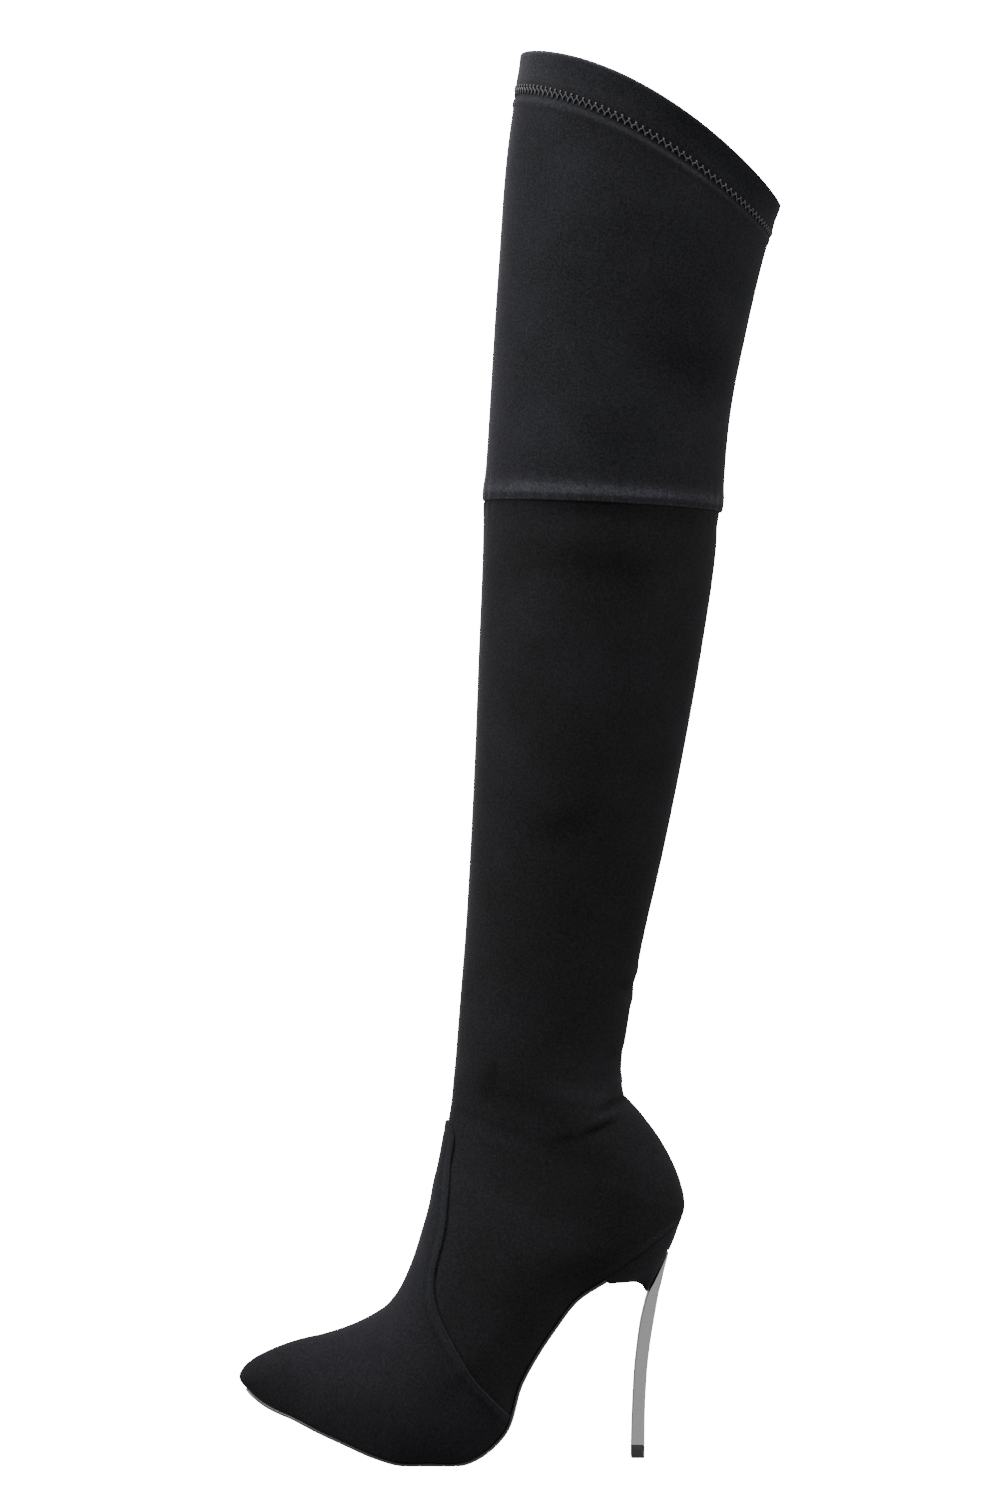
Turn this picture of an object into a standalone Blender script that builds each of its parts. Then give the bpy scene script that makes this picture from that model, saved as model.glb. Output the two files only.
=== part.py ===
"""Left over-the-knee sock boot: pointed toe, high pitch, thin metal heel.

The toe points along -X, the outer side of the foot faces -Y and the boot stands on Z = 0.

The boot is a fan of sections. Each section lies between a point on the front line (toe, instep, shin,
collar) and a point on the back line (sole, heel, calf, collar). Its outline is half a superellipse on each
side. Under the foot the outline is cut off at the feather edge, where the sole closes the boot.
"""
import bpy
import numpy as np

# Driving sizes, in metres
FOOT_LENGTH = 0.2274      # toe tip to the back of the heel, measured level
HEEL_HEIGHT = 0.1230      # floor to the back of the heel seat
TOE_SPRING = 0.0335       # rise of the sole's tip above the ball
INSTEP_HEIGHT = 0.0800    # sole to the top of the foot at the ball
BALL_WIDTH = 0.0820       # widest place of the upper
ANKLE_RISE = 0.0735       # heel seat to the narrowest place of the ankle
SHAFT_HEIGHT = 0.4420     # ankle to the back of the collar
SHAFT_LEAN = 0.0568       # how far the collar's middle lies behind the ankle's
THIGH_DEPTH = 0.1318      # collar from front to back, measured level
THIGH_WIDTH = 0.1180      # collar from side to side
COLLAR_SLANT = 0.0770     # how far the front of the collar stands above its back
COLLAR_BOW = 0.0130       # how far the collar's sides rise above a flat cut

UPPER_WALL = 0.0018       # stretch cloth with its lining
VAMP_WALL = 0.0010        # overlay on the toe and instep
KNEE_STEP = 0.0014        # thigh panel's lower edge, lapped over the shin
KNEE_FADE = 0.0300        # length over which that lap dies away
HEM_STEP = 0.0006         # turned hem at the collar
HEM_WIDTH = 0.0190
OUTSOLE_THICKNESS = 0.0022
INSOLE_THICKNESS = 0.0022
LIFT_HEIGHT = 0.0066      # rubber tread at the heel's tip
LIFT_EDGE = 0.0008        # rounding of the tread's corners
BLADE_DEPTH = 0.0070      # metal heel, front to back, at its tip
BLADE_WIDTH = 0.0110      # metal heel, side to side, at its tip
GAP = 0.0003              # clearance between neighbouring pieces
STEP_RISE = 0.0008        # length of wall over which a step is made
SOLE_INSET = 0.0003       # how far the sole's edge lies inside the feather edge
SOLE_END = 0.0008         # blunt end of the sole and insole, along the boot
CUT_REACH = 0.0300        # how far the vamp's cut runs on below the feather edge

# How finely the forms are cut
FOOT_ROW_REACH = 0.0130   # longest stretch between two rows of the foot
SHAFT_ROW_REACH = 0.0500
END_ROWS = 3              # rows that round the toe's tip and the back of the heel seat
UPPER_COLUMNS = 24
VAMP_EDGE_POINTS = 28
BLOCK_LEVELS = 17          # one at each section of the block and one between each two
BLOCK_SIDE_POINTS = 9     # points along each side of the heel block
BLADE_LEVELS = 12
READ_STEP = 0.0002        # step along a form over which its slope is read
READ_TURN = 0.0020        # the same around a section, as a share of its length
READ_END = 0.0010         # slopes at a form's ends are read this far in
TINY = 1e-9               # smaller than any real difference between two places

SOLE_TOP = OUTSOLE_THICKNESS + GAP
PITCH = HEEL_HEIGHT - SOLE_TOP

# Sections of the foot, from the toe to the ankle.
# front_x and back_x are shares of FOOT_LENGTH, rise of INSTEP_HEIGHT, spring of TOE_SPRING,
# pitch of PITCH, and width and swing of BALL_WIDTH. swing is towards the inner side of the foot.
# feather is the sole's width as a share of the section's, widest is where the section is widest, from its
# back point, 0, to its front point, 1, and full is the superellipse's power.
FOOT_COLUMNS = ("front_x", "rise", "back_x", "spring", "pitch", "width", "swing", "feather", "widest", "full")
FOOT_SECTIONS = (
    (0.020, 0.003, 0.020, 1.00, 0.00, 0.00, 0.065, 0.75, 0.40, 2.0),
    (0.006, 0.058, 0.024, 0.97, 0.00, 0.09, 0.065, 0.78, 0.40, 2.0),
    (0.013, 0.144, 0.035, 0.90, 0.00, 0.16, 0.063, 0.82, 0.38, 2.0),
    (0.033, 0.235, 0.053, 0.81, 0.00, 0.24, 0.060, 0.87, 0.36, 2.0),
    (0.069, 0.328, 0.079, 0.72, 0.00, 0.34, 0.055, 0.90, 0.34, 2.1),
    (0.132, 0.445, 0.128, 0.60, 0.00, 0.50, 0.045, 0.92, 0.32, 2.1),
    (0.195, 0.560, 0.185, 0.43, 0.00, 0.66, 0.032, 0.93, 0.30, 2.1),
    (0.253, 0.684, 0.246, 0.265, 0.00, 0.80, 0.020, 0.93, 0.30, 2.1),
    (0.298, 0.815, 0.308, 0.10, 0.00, 0.91, 0.008, 0.93, 0.30, 2.1),
    (0.330, 0.914, 0.365, 0.00, 0.00, 0.98, 0.000, 0.92, 0.30, 2.1),
    (0.353, 0.985, 0.431, 0.00, 0.00, 1.00, -0.006, 0.91, 0.31, 2.1),
    (0.370, 1.062, 0.501, 0.00, 0.00, 0.99, -0.012, 0.88, 0.32, 2.1),
    (0.395, 1.062, 0.589, 0.00, 0.11, 0.92, -0.025, 0.74, 0.35, 2.1),
    (0.415, 0.925, 0.629, 0.00, 0.32, 0.88, -0.035, 0.60, 0.37, 2.1),
    (0.433, 0.765, 0.704, 0.00, 0.55, 0.84, -0.030, 0.54, 0.39, 2.1),
    (0.441, 0.700, 0.757, 0.00, 0.675, 0.82, -0.022, 0.58, 0.40, 2.1),
    (0.448, 0.665, 0.818, 0.00, 0.752, 0.80, -0.015, 0.67, 0.41, 2.2),
    (0.455, 0.624, 0.888, 0.00, 0.84, 0.78, -0.005, 0.75, 0.42, 2.2),
    (0.461, 0.604, 0.941, 0.00, 0.915, 0.78, 0.000, 0.66, 0.43, 2.2),
    (0.466, 0.604, 0.976, 0.00, 0.965, 0.78, 0.000, 0.44, 0.44, 2.2),
    (0.470, 0.613, 0.995, 0.00, 1.00, 0.78, 0.000, 0.00, 0.45, 2.2),
    (0.474, 0.588, 1.000, 0.00, 1.06, 0.78, 0.000, 0.00, 0.46, 2.1),
    (0.477, 0.512, 0.990, 0.00, 1.15, 0.79, 0.000, 0.00, 0.47, 2.1),
    (0.480, 0.362, 0.950, 0.00, 1.31, 0.80, 0.000, 0.00, 0.48, 2.0),
    (0.483, 0.269, 0.904, 0.00, 1.43, 0.81, 0.000, 0.00, 0.49, 2.0),
    (0.486, 0.219, 0.865, 0.00, 1.52, 0.81, 0.000, 0.00, 0.50, 2.0),
)
HEEL_SEAT_BACK = 20       # row of FOOT_SECTIONS where the two feather edges meet
BREAST = 16               # row of FOOT_SECTIONS at the front of the heel
TONGUE_TOP = 20           # row of FOOT_SECTIONS at the top of the vamp's tongue

# Sections of the shaft, from the ankle to the collar. up is a share of SHAFT_HEIGHT, lean of SHAFT_LEAN
# and slant of COLLAR_SLANT. depth and width run from the ankle's own, 0, to the collar's, 1.
# The ankle's front and back are shares of FOOT_LENGTH, and its width is one of BALL_WIDTH.
ANKLE_FRONT_X = 0.489
ANKLE_BACK_X = 0.858
ANKLE_WIDTH = 0.81
SHAFT_COLUMNS = ("up", "lean", "depth", "width", "slant")
SHAFT_SECTIONS = (
    (0.000, 0.000, 0.000, 0.00, 0.203),
    (0.045, 0.035, 0.025, 0.01, 0.176),
    (0.143, 0.128, 0.123, 0.13, 0.095),
    (0.249, 0.243, 0.292, 0.32, 0.027),
    (0.362, 0.353, 0.456, 0.51, 0.000),
    (0.493, 0.464, 0.623, 0.63, 0.000),
    (0.579, 0.532, 0.700, 0.68, 0.040),
    (0.647, 0.572, 0.735, 0.73, 0.075),
    (0.762, 0.649, 0.781, 0.84, 0.297),
    (0.855, 0.750, 0.883, 0.92, 0.459),
    (0.939, 0.866, 0.975, 0.98, 0.716),
    (1.000, 1.000, 1.000, 1.00, 1.000),
)
KNEE = 7                  # row of SHAFT_SECTIONS at the knee seam

# The vamp's edge from the feather edge forwards and up to the tongue's top. along runs from the toe, 0,
# to the top of the tongue, 1, and around from the feather edge, 0, to the front line, 0.5.
VAMP_EDGE_COLUMNS = ("along", "around")
VAMP_EDGE = (
    (0.575, 0.00),
    (0.560, 0.09),
    (0.545, 0.16),
    (0.540, 0.22),
    (0.542, 0.28),
    (0.558, 0.32),
    (0.600, 0.344),
    (0.700, 0.362),
    (0.800, 0.384),
    (0.880, 0.400),
    (0.945, 0.412),
    (0.982, 0.435),
    (0.996, 0.470),
    (1.000, 0.500),
)

# The metal heel in side view. up runs from its tip on the tread, 0, to the height of the heel seat, 1,
# behind is how far its back lies before the heel seat's back as a share of HEEL_HEIGHT, and depth and
# width are shares of BLADE_DEPTH and BLADE_WIDTH.
BLADE_COLUMNS = ("up", "behind", "depth", "width")
BLADE_SECTIONS = (
    (0.000, 0.157, 1.00, 1.00),
    (0.153, 0.155, 0.96, 1.00),
    (0.401, 0.139, 0.96, 1.06),
    (0.597, 0.110, 0.94, 1.16),
    (0.672, 0.097, 0.80, 1.22),
    (0.719, 0.086, 0.58, 1.26),
    (0.767, 0.076, 0.36, 1.30),
    (0.809, 0.066, 0.20, 1.30),
    (0.841, 0.058, 0.14, 1.26),
)
BLADE_TOP = BLADE_SECTIONS[-1][0]
RECESS_RISE = 0.0016      # how far the block's recess runs on above the metal heel
BLOCK_TIP = BLADE_SECTIONS[4][0]      # how far up the blade the block's lowest point lies

# Levels of the heel block from the seat, 0, to its lowest point, 1. front and back run from the seat's
# two ends to the lowest point. sag is how far the underside hangs below the straight line and bow how far
# the back stands out behind it, as shares of HEEL_HEIGHT. width is a share of the seat's width.
BLOCK_COLUMNS = ("down", "front", "back", "sag", "bow", "width")
BLOCK_SECTIONS = (
    (0.00, 0.000, 0.000, 0.0000, 0.0000, 1.00),
    (0.08, 0.070, 0.070, 0.0121, 0.0015, 0.97),
    (0.25, 0.300, 0.280, 0.0000, 0.0085, 0.88),
    (0.36, 0.415, 0.375, -0.0075, 0.0100, 0.81),
    (0.42, 0.475, 0.440, -0.0115, 0.0105, 0.77),
    (0.50, 0.550, 0.520, -0.0165, 0.0110, 0.70),
    (0.75, 0.780, 0.760, -0.0250, 0.0080, 0.50),
    (0.90, 0.885, 0.900, -0.0165, 0.0040, 0.40),
    (1.00, 0.940, 1.000, 0.0000, 0.0000, 0.34),
)


def table(columns, rows):
    """The rows of a table as one array for each named column."""
    return dict(zip(columns, np.array(rows, dtype=float).T))


def curve(knots, values, at):
    """Smooth curve through values at knots: cubic pieces whose slopes come from the neighbouring rows."""
    steps = np.diff(knots)
    slopes = np.diff(values) / steps
    inner = (slopes[:-1] * steps[1:] + slopes[1:] * steps[:-1]) / (steps[:-1] + steps[1:])
    tangents = np.concatenate(([slopes[0]], inner, [slopes[-1]]))
    index = np.clip(np.searchsorted(knots, at, side="right") - 1, 0, len(steps) - 1)
    width = steps[index]
    t = (at - knots[index]) / width
    start = values[index] * (2 * t**3 - 3 * t**2 + 1) + width * tangents[index] * (t**3 - 2 * t**2 + t)
    end = values[index + 1] * (3 * t**2 - 2 * t**3) + width * tangents[index + 1] * (t**3 - t**2)
    return start + end


def foot_rows():
    """Front and back points, width and the rest for each section of the foot, in metres."""
    foot = table(FOOT_COLUMNS, FOOT_SECTIONS)
    back_z = SOLE_TOP + TOE_SPRING * foot["spring"] + PITCH * foot["pitch"]
    return {
        "front_x": FOOT_LENGTH * foot["front_x"],
        "front_z": back_z + INSTEP_HEIGHT * foot["rise"],
        "back_x": FOOT_LENGTH * foot["back_x"],
        "back_z": back_z,
        "half_width": BALL_WIDTH / 2 * foot["width"],
        "swing": BALL_WIDTH * foot["swing"],
        "feather": foot["feather"],
        "widest": foot["widest"],
        "full": foot["full"],
    }


def shaft_rows():
    """The same values for each section of the shaft."""
    shaft = table(SHAFT_COLUMNS, SHAFT_SECTIONS)
    ankle_depth = FOOT_LENGTH * (ANKLE_BACK_X - ANKLE_FRONT_X)
    ankle_width = BALL_WIDTH * ANKLE_WIDTH
    middle = FOOT_LENGTH * (ANKLE_BACK_X + ANKLE_FRONT_X) / 2 + SHAFT_LEAN * shaft["lean"]
    depth = ankle_depth + (THIGH_DEPTH - ankle_depth) * shaft["depth"]
    back_z = HEEL_HEIGHT + ANKLE_RISE + SHAFT_HEIGHT * shaft["up"]
    nothing = np.zeros(len(middle))
    return {
        "front_x": middle - depth / 2,
        "front_z": back_z + COLLAR_SLANT * shaft["slant"],
        "back_x": middle + depth / 2,
        "back_z": back_z,
        "half_width": (ankle_width + (THIGH_WIDTH - ankle_width) * shaft["width"]) / 2,
        "swing": nothing,
        "feather": nothing,
        "widest": nothing + 0.5,
        "full": nothing + 2.0,
    }


def join_rows():
    """All sections from toe to collar, with each one's place along the boot.

    The place is the mean of the lengths walked along the front line and the back line.
    """
    foot, shaft = foot_rows(), shaft_rows()
    rows = {name: np.concatenate((foot[name], shaft[name])) for name in foot}
    front = np.hypot(np.diff(rows["front_x"]), np.diff(rows["front_z"]))
    back = np.hypot(np.diff(rows["back_x"]), np.diff(rows["back_z"]))
    rows["along"] = np.concatenate(([0.0], np.cumsum((front + back) / 2)))
    # Widths and feather edges are carried as squares, which makes the toe and the heel seat round in plan
    rows["half_width"] = rows["half_width"] ** 2
    rows["feather"] = rows["feather"] ** 2
    return rows


ROWS = join_rows()
ALONG_SEAT_BACK = ROWS["along"][HEEL_SEAT_BACK]
ALONG_BREAST = ROWS["along"][BREAST]
ALONG_TONGUE = ROWS["along"][TONGUE_TOP]
ALONG_ANKLE = ROWS["along"][len(FOOT_SECTIONS)]
ALONG_KNEE = ROWS["along"][len(FOOT_SECTIONS) + KNEE]
ALONG_COLLAR = ROWS["along"][-1]
ALONG_HEM = ALONG_COLLAR - HEM_WIDTH


def value(name, along):
    """One column of the sections at places along the boot."""
    return curve(ROWS["along"], ROWS[name], along)


def outline(along, around):
    """Points of the boot's outer form.

    around runs from the outer feather edge, 0, over the front line, 0.5, to the inner one, 1. With angle a,
    the point lies at the half width times C(a) to the side, where C and S are the cosine and sine to the
    power 2 / full. Its share of the way from back point to front point is w + (1 - w) S(a) above the widest
    place w, and w - w S(a) / S(a0) below it, where a0 is the angle of the feather edge.
    """
    along, around = np.broadcast_arrays(along, around)
    power = 2 / value("full", along)
    share = np.clip(value("feather", along), 0, 1)
    share = np.where(along >= ALONG_SEAT_BACK, 0.0, np.sqrt(share))
    start = -np.arccos(share ** (1 / power))
    angle = start + (np.pi - 2 * start) * around
    rise = np.sign(np.sin(angle)) * np.abs(np.sin(angle)) ** power
    side = np.sign(np.cos(angle)) * np.abs(np.cos(angle)) ** power
    depth = np.abs(np.sin(start)) ** power
    widest = value("widest", along)
    way = widest + np.where(rise > 0, (1 - widest) * rise, widest * rise / depth)
    back_x, back_z = value("back_x", along), value("back_z", along)
    x = back_x + way * (value("front_x", along) - back_x)
    z = back_z + way * (value("front_z", along) - back_z)
    half = np.sqrt(np.maximum(value("half_width", along), 0))
    y = value("swing", along) - half * side
    above_knee = np.clip((along - ALONG_KNEE) / (ALONG_COLLAR - ALONG_KNEE), 0, None)
    z = z + COLLAR_BOW * above_knee**2 * side**2
    return np.stack((x, y, z), axis=-1)


def unit(vectors):
    """Vectors brought to length one."""
    return vectors / np.maximum(np.linalg.norm(vectors, axis=-1, keepdims=True), TINY)


def normal(along, around):
    """Outward normals of the outer form, from small steps along and around it."""
    along, around = np.broadcast_arrays(along, around)
    place = np.clip(along, READ_END, ALONG_COLLAR - READ_END)
    run = outline(place + READ_STEP, around) - outline(place - READ_STEP, around)
    turn = outline(place, around + READ_TURN) - outline(place, around - READ_TURN)
    return unit(np.cross(run, turn))


def seat_up(along):
    """Upward normals of the surface that the sole makes, square to the back line and to Y."""
    place = np.clip(along, READ_END, ALONG_SEAT_BACK - READ_END)
    dx = value("back_x", place + READ_STEP) - value("back_x", place - READ_STEP)
    dz = value("back_z", place + READ_STEP) - value("back_z", place - READ_STEP)
    return unit(np.stack((-dz, np.zeros_like(dx), dx), axis=-1))


def feather_edge(along, side, inset, lift=0.0):
    """Points of the feather edge, moved in by inset across the sole and up by lift.

    side is 0 for the outer edge and 1 for the inner one.
    """
    place = np.clip(along, READ_STEP, ALONG_SEAT_BACK - READ_STEP)
    run = outline(place + READ_STEP, side) - outline(place - READ_STEP, side)
    up = seat_up(along)
    outward = unit(np.cross(run, up)) * (1 if side == 0 else -1)
    return outline(along, side) - inset * outward + lift * up


def grid_faces(rows, columns, closed_from):
    """Triangles between the rows of a grid, as row-major indices.

    The first row is one point. From the row closed_from on, the last column is the first one. The two
    halves of the grid are split along mirrored diagonals, the same way on every form, so that sheets over
    one another stay parallel.
    """
    index = np.arange(rows * columns).reshape(rows, columns)
    index[0, :] = index[0, 0]
    index[closed_from:, -1] = index[closed_from:, 0]
    faces = []
    for r in range(rows - 1):
        for c in range(columns - 1):
            a, b, d, e = (int(index[place]) for place in ((r, c), (r + 1, c), (r + 1, c + 1), (r, c + 1)))
            halves = ((a, b, d), (a, d, e)) if c < columns // 2 else ((a, b, e), (b, d, e))
            faces.extend([half for half in halves if len(set(half)) == 3])
    return faces


def wall(name, outside, inside, faces):
    """A closed solid between two grids of points, with a rim along every free edge."""
    used = sorted({corner for face in faces for corner in face})
    order = {corner: place for place, corner in enumerate(used)}
    shift = len(used)
    points = [outside[corner] for corner in used] + [inside[corner] for corner in used]
    skin = [[order[corner] for corner in face] for face in faces]
    lining = [[corner + shift for corner in reversed(face)] for face in skin]
    edges = {(face[i - 1], face[i]) for face in skin for i in range(len(face))}
    rim = [[b, a, a + shift, b + shift] for a, b in edges if (b, a) not in edges]
    return solid(name, points, skin + lining + sorted(rim))


def solid(name, points, faces):
    """A mesh object from points and faces."""
    mesh = bpy.data.meshes.new(name)
    mesh.from_pydata([tuple(map(float, point)) for point in points], [], faces)
    mesh.validate()
    piece = bpy.data.objects.new(name, mesh)
    bpy.context.collection.objects.link(piece)
    return piece


def shade(piece, degrees=40):
    """Smooth shading that leaves edges sharper than the angle crisp."""
    piece.data.shade_smooth()
    piece.data.set_sharp_from_angle(angle=np.radians(degrees))


def paint(piece, name, colour, roughness, metallic=0.0):
    """The piece's own material."""
    material = bpy.data.materials.new(name)
    material.use_nodes = True
    shader = material.node_tree.nodes["Principled BSDF"]
    shader.inputs["Base Color"].default_value = (*colour, 1.0)
    shader.inputs["Roughness"].default_value = roughness
    shader.inputs["Metallic"].default_value = metallic
    piece.data.materials.append(material)


def places_along(last):
    """Rows of the wall from the toe to a place: each section, and enough between to follow the curves."""
    knots = ROWS["along"]
    front = np.hypot(np.diff(ROWS["front_x"]), np.diff(ROWS["front_z"]))
    back = np.hypot(np.diff(ROWS["back_x"]), np.diff(ROWS["back_z"]))
    places = []
    for row, run in enumerate(np.maximum(front, back)):
        reach = FOOT_ROW_REACH if knots[row] < ALONG_ANKLE else SHAFT_ROW_REACH
        cuts = 1 + int(run / reach)
        if row in (0, HEEL_SEAT_BACK - 1):
            cuts = END_ROWS
        shares = np.arange(cuts) / cuts
        if row == 0:
            shares = shares**2
        if row == HEEL_SEAT_BACK - 1:
            shares = 1 - (1 - shares) ** 2
        places.extend(knots[row] + (knots[row + 1] - knots[row]) * shares)
    places.append(knots[-1])
    return np.array([place for place in places if place <= last + TINY])


def form_rows():
    """Rows of the upper, with a close pair at each step in its wall and no other row near it."""
    places = places_along(ALONG_COLLAR)
    for step in (ALONG_KNEE, ALONG_HEM):
        near = np.abs(places - step) > STEP_RISE * 4
        places = np.concatenate((places[near], [step - STEP_RISE / 2, step + STEP_RISE / 2]))
    return np.unique(places)


def wall_step(along):
    """How far the outside stands proud of the plain form: the knee's lap and the hem."""
    past_knee = along - ALONG_KNEE
    lap = np.where(past_knee > 0, KNEE_STEP * np.exp(-np.maximum(past_knee, 0) / KNEE_FADE), 0.0)
    hem = np.where(along > ALONG_HEM, HEM_STEP, 0.0)
    return lap + hem


def skin_points(along, around, lift):
    """Grid of points at a height over the outer form, flattened to the seat along the feather edges."""
    grid_along, grid_around = np.meshgrid(along, around, indexing="ij")
    lift = np.broadcast_to(np.reshape(lift, (-1, 1)), grid_along.shape)
    outward = normal(grid_along, grid_around)
    points = outline(grid_along, grid_around) + lift[..., None] * outward
    open_rows = along <= ALONG_SEAT_BACK + TINY
    for column, side in ((0, 0), (-1, 1)):
        edge = feather_edge(along[open_rows], side, 0.0)
        inward = feather_edge(along[open_rows], side, 1.0) - edge
        points[open_rows, column] = edge - lift[open_rows, column, None] * inward
    points[0] = outline(0.0, 0.5) + lift[0, 0] * outward[1].mean(axis=0)
    return points.reshape(-1, 3)


def make_upper():
    """Toe, quarter, shaft and hem as one hollow wall, open at the collar and under the foot."""
    along = form_rows()
    around = np.linspace(0, 1, UPPER_COLUMNS + 1)
    closed_from = int(np.searchsorted(along, ALONG_SEAT_BACK - TINY))
    faces = grid_faces(len(along), len(around), closed_from)
    outside = skin_points(along, around, wall_step(along))
    inside = skin_points(along, around, np.full(len(along), -UPPER_WALL))
    upper = wall("upper", outside, inside, faces)
    shade(upper)
    paint(upper, "stretch_suede", (0.012, 0.012, 0.014), 0.9)
    return upper


def vamp_edge_points():
    """The vamp's edge in side view, read from the outer form."""
    edge = table(VAMP_EDGE_COLUMNS, VAMP_EDGE)
    knots = np.arange(len(VAMP_EDGE), dtype=float)
    fine = np.linspace(0, knots[-1], VAMP_EDGE_POINTS)
    along = curve(knots, edge["along"], fine) * ALONG_TONGUE
    around = curve(knots, edge["around"], fine)
    points = outline(along, around)
    return points[:, (0, 2)]


def make_vamp():
    """Overlay cut from a thin form over the upper, by a block whose face follows the vamp's edge."""
    along = places_along(ALONG_TONGUE)
    around = np.linspace(0, 1, UPPER_COLUMNS + 1)
    faces = grid_faces(len(along), len(around), len(along))
    outside = skin_points(along, around, np.full(len(along), GAP + VAMP_WALL))
    inside = skin_points(along, around, np.full(len(along), GAP))
    vamp = wall("vamp", outside, inside, faces)

    edge = vamp_edge_points()
    reach = BALL_WIDTH
    low = edge[0] + CUT_REACH * unit(edge[0] - edge[1])
    corners = [low, *edge, edge[-1] + (-reach, 0), edge[-1] + (-reach, reach),
               (FOOT_LENGTH + reach, edge[-1][1] + reach), (FOOT_LENGTH + reach, low[1] - reach)]
    count = len(corners)
    points = [(x, y, z) for y in (-reach, reach) for x, z in corners]
    sides = [[i, (i + 1) % count, count + (i + 1) % count, count + i] for i in range(count)]
    cutter = solid("vamp_cutter", points, [list(range(count))[::-1], list(range(count, 2 * count)), *sides])
    cutter.hide_render = True
    cutter.display_type = "WIRE"
    cut = vamp.modifiers.new("cut", "BOOLEAN")
    cut.operation = "DIFFERENCE"
    cut.object = cutter
    shade(vamp)
    paint(vamp, "vamp_suede", (0.017, 0.017, 0.019), 0.85)
    return vamp, cutter


def board(name, along, inset, top, bottom, floor=None):
    """A thin flat-sided solid that follows the sole from side to side of the feather edges.

    Each section has four corners: outer and inner above, then outer and inner below.
    """
    layers = []
    for lift in (top, bottom):
        outer = feather_edge(along, 0, inset, lift)
        inner = feather_edge(along, 1, inset, lift)
        layers.extend((outer, inner))
    points = np.stack(layers, axis=1)
    if floor is not None:
        points[:, 2:, 2] = np.maximum(points[:, 2:, 2], floor)
    rows = len(along)
    faces = []
    for r in range(rows - 1):
        a, b = 4 * r, 4 * (r + 1)
        faces.extend(([a, b, b + 1, a + 1], [a + 2, a + 3, b + 3, b + 2],
                      [a, a + 2, b + 2, b], [a + 1, b + 1, b + 3, a + 3]))
    last = 4 * (rows - 1)
    faces.extend(([0, 1, 3, 2], [last, last + 2, last + 3, last + 1]))
    return solid(name, points.reshape(-1, 3), faces)


def make_outsole():
    """Thin sole from the toe to the front of the heel, flat on the floor under the ball."""
    along = places_along(ALONG_BREAST)
    along[0] = SOLE_END
    along[-1] -= GAP
    outsole = board("outsole", along, SOLE_INSET, -GAP, -SOLE_TOP, floor=0.0)
    shade(outsole)
    paint(outsole, "sole_leather", (0.05, 0.035, 0.025), 0.5)
    return outsole


def make_insole():
    """Board inside the upper, lying on the sole and the heel seat."""
    along = places_along(ALONG_SEAT_BACK)
    along[0] = SOLE_END
    along[-1] -= SOLE_END
    insole = board("insole", along, UPPER_WALL + GAP, INSOLE_THICKNESS, 0.0)
    shade(insole)
    paint(insole, "insole_board", (0.02, 0.02, 0.02), 0.8)
    return insole


def blade_rows(up):
    """Front x, back x, z and half width of the metal heel at places up it."""
    blade = table(BLADE_COLUMNS, BLADE_SECTIONS)
    knots = blade["up"]
    back = ROWS["back_x"][HEEL_SEAT_BACK] - HEEL_HEIGHT * curve(knots, blade["behind"], up)
    front = back - BLADE_DEPTH * curve(knots, blade["depth"], up)
    half = BLADE_WIDTH / 2 * curve(knots, blade["width"], up)
    tip = LIFT_HEIGHT + GAP
    return front, back, tip + (HEEL_HEIGHT - tip) * up, half


def strip_cap(size, first):
    """Faces across a closed loop, between points the same way from its first and last point."""
    faces = []
    for i in range((size - 1) // 2):
        face = [i, i + 1, size - 2 - i, size - 1 - i]
        if face[1] == face[2]:
            face.pop(1)
        faces.append([first + corner for corner in face])
    return faces


def loops_solid(name, loops):
    """A closed solid through equal loops of points, from its lowest loop up, capped at both ends."""
    size = len(loops[0])
    points = [point for loop in loops for point in loop]
    faces = [face[::-1] for face in strip_cap(size, 0)]
    for level in range(len(loops) - 1):
        low, high = level * size, (level + 1) * size
        for i in range(size):
            j = (i + 1) % size
            faces.append([low + i, low + j, high + j, high + i])
    faces.extend(strip_cap(size, (len(loops) - 1) * size))
    return solid(name, points, faces)


def rounded_box(front, back, half, z, corner):
    """Points of a level rectangle with cut corners, counter-clockwise from above.

    A corner takes at most a third of the short sides and a quarter of the long ones.
    """
    cut =min(corner, (back - front) / 3, half / 2)
    return [(front + cut, -half, z), (back - cut, -half, z), (back, -half + cut, z), (back, half - cut, z),
            (back - cut, half, z), (front + cut, half, z), (front, half - cut, z), (front, -half + cut, z)]


def make_heel_blade():
    """Thin curved metal heel that runs up the back of the heel block."""
    front, back, z, half = blade_rows(np.linspace(0, BLADE_TOP, BLADE_LEVELS))
    loops = [rounded_box(*row, LIFT_EDGE) for row in zip(front, back, half, z)]
    blade = loops_solid("heel_blade", loops)
    shade(blade)
    paint(blade, "plated_steel", (0.30, 0.29, 0.30), 0.2, 1.0)
    return blade


def make_top_lift():
    """Rubber tread under the metal heel."""
    front, back, _, half = (row[0] for row in blade_rows(np.zeros(1)))
    lift = loops_solid("top_lift", [rounded_box(front, back, half, level, LIFT_EDGE)
                                    for level in (0.0, LIFT_HEIGHT)])
    shade(lift)
    paint(lift, "lift_rubber", (0.03, 0.03, 0.035), 0.6)
    return lift


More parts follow.
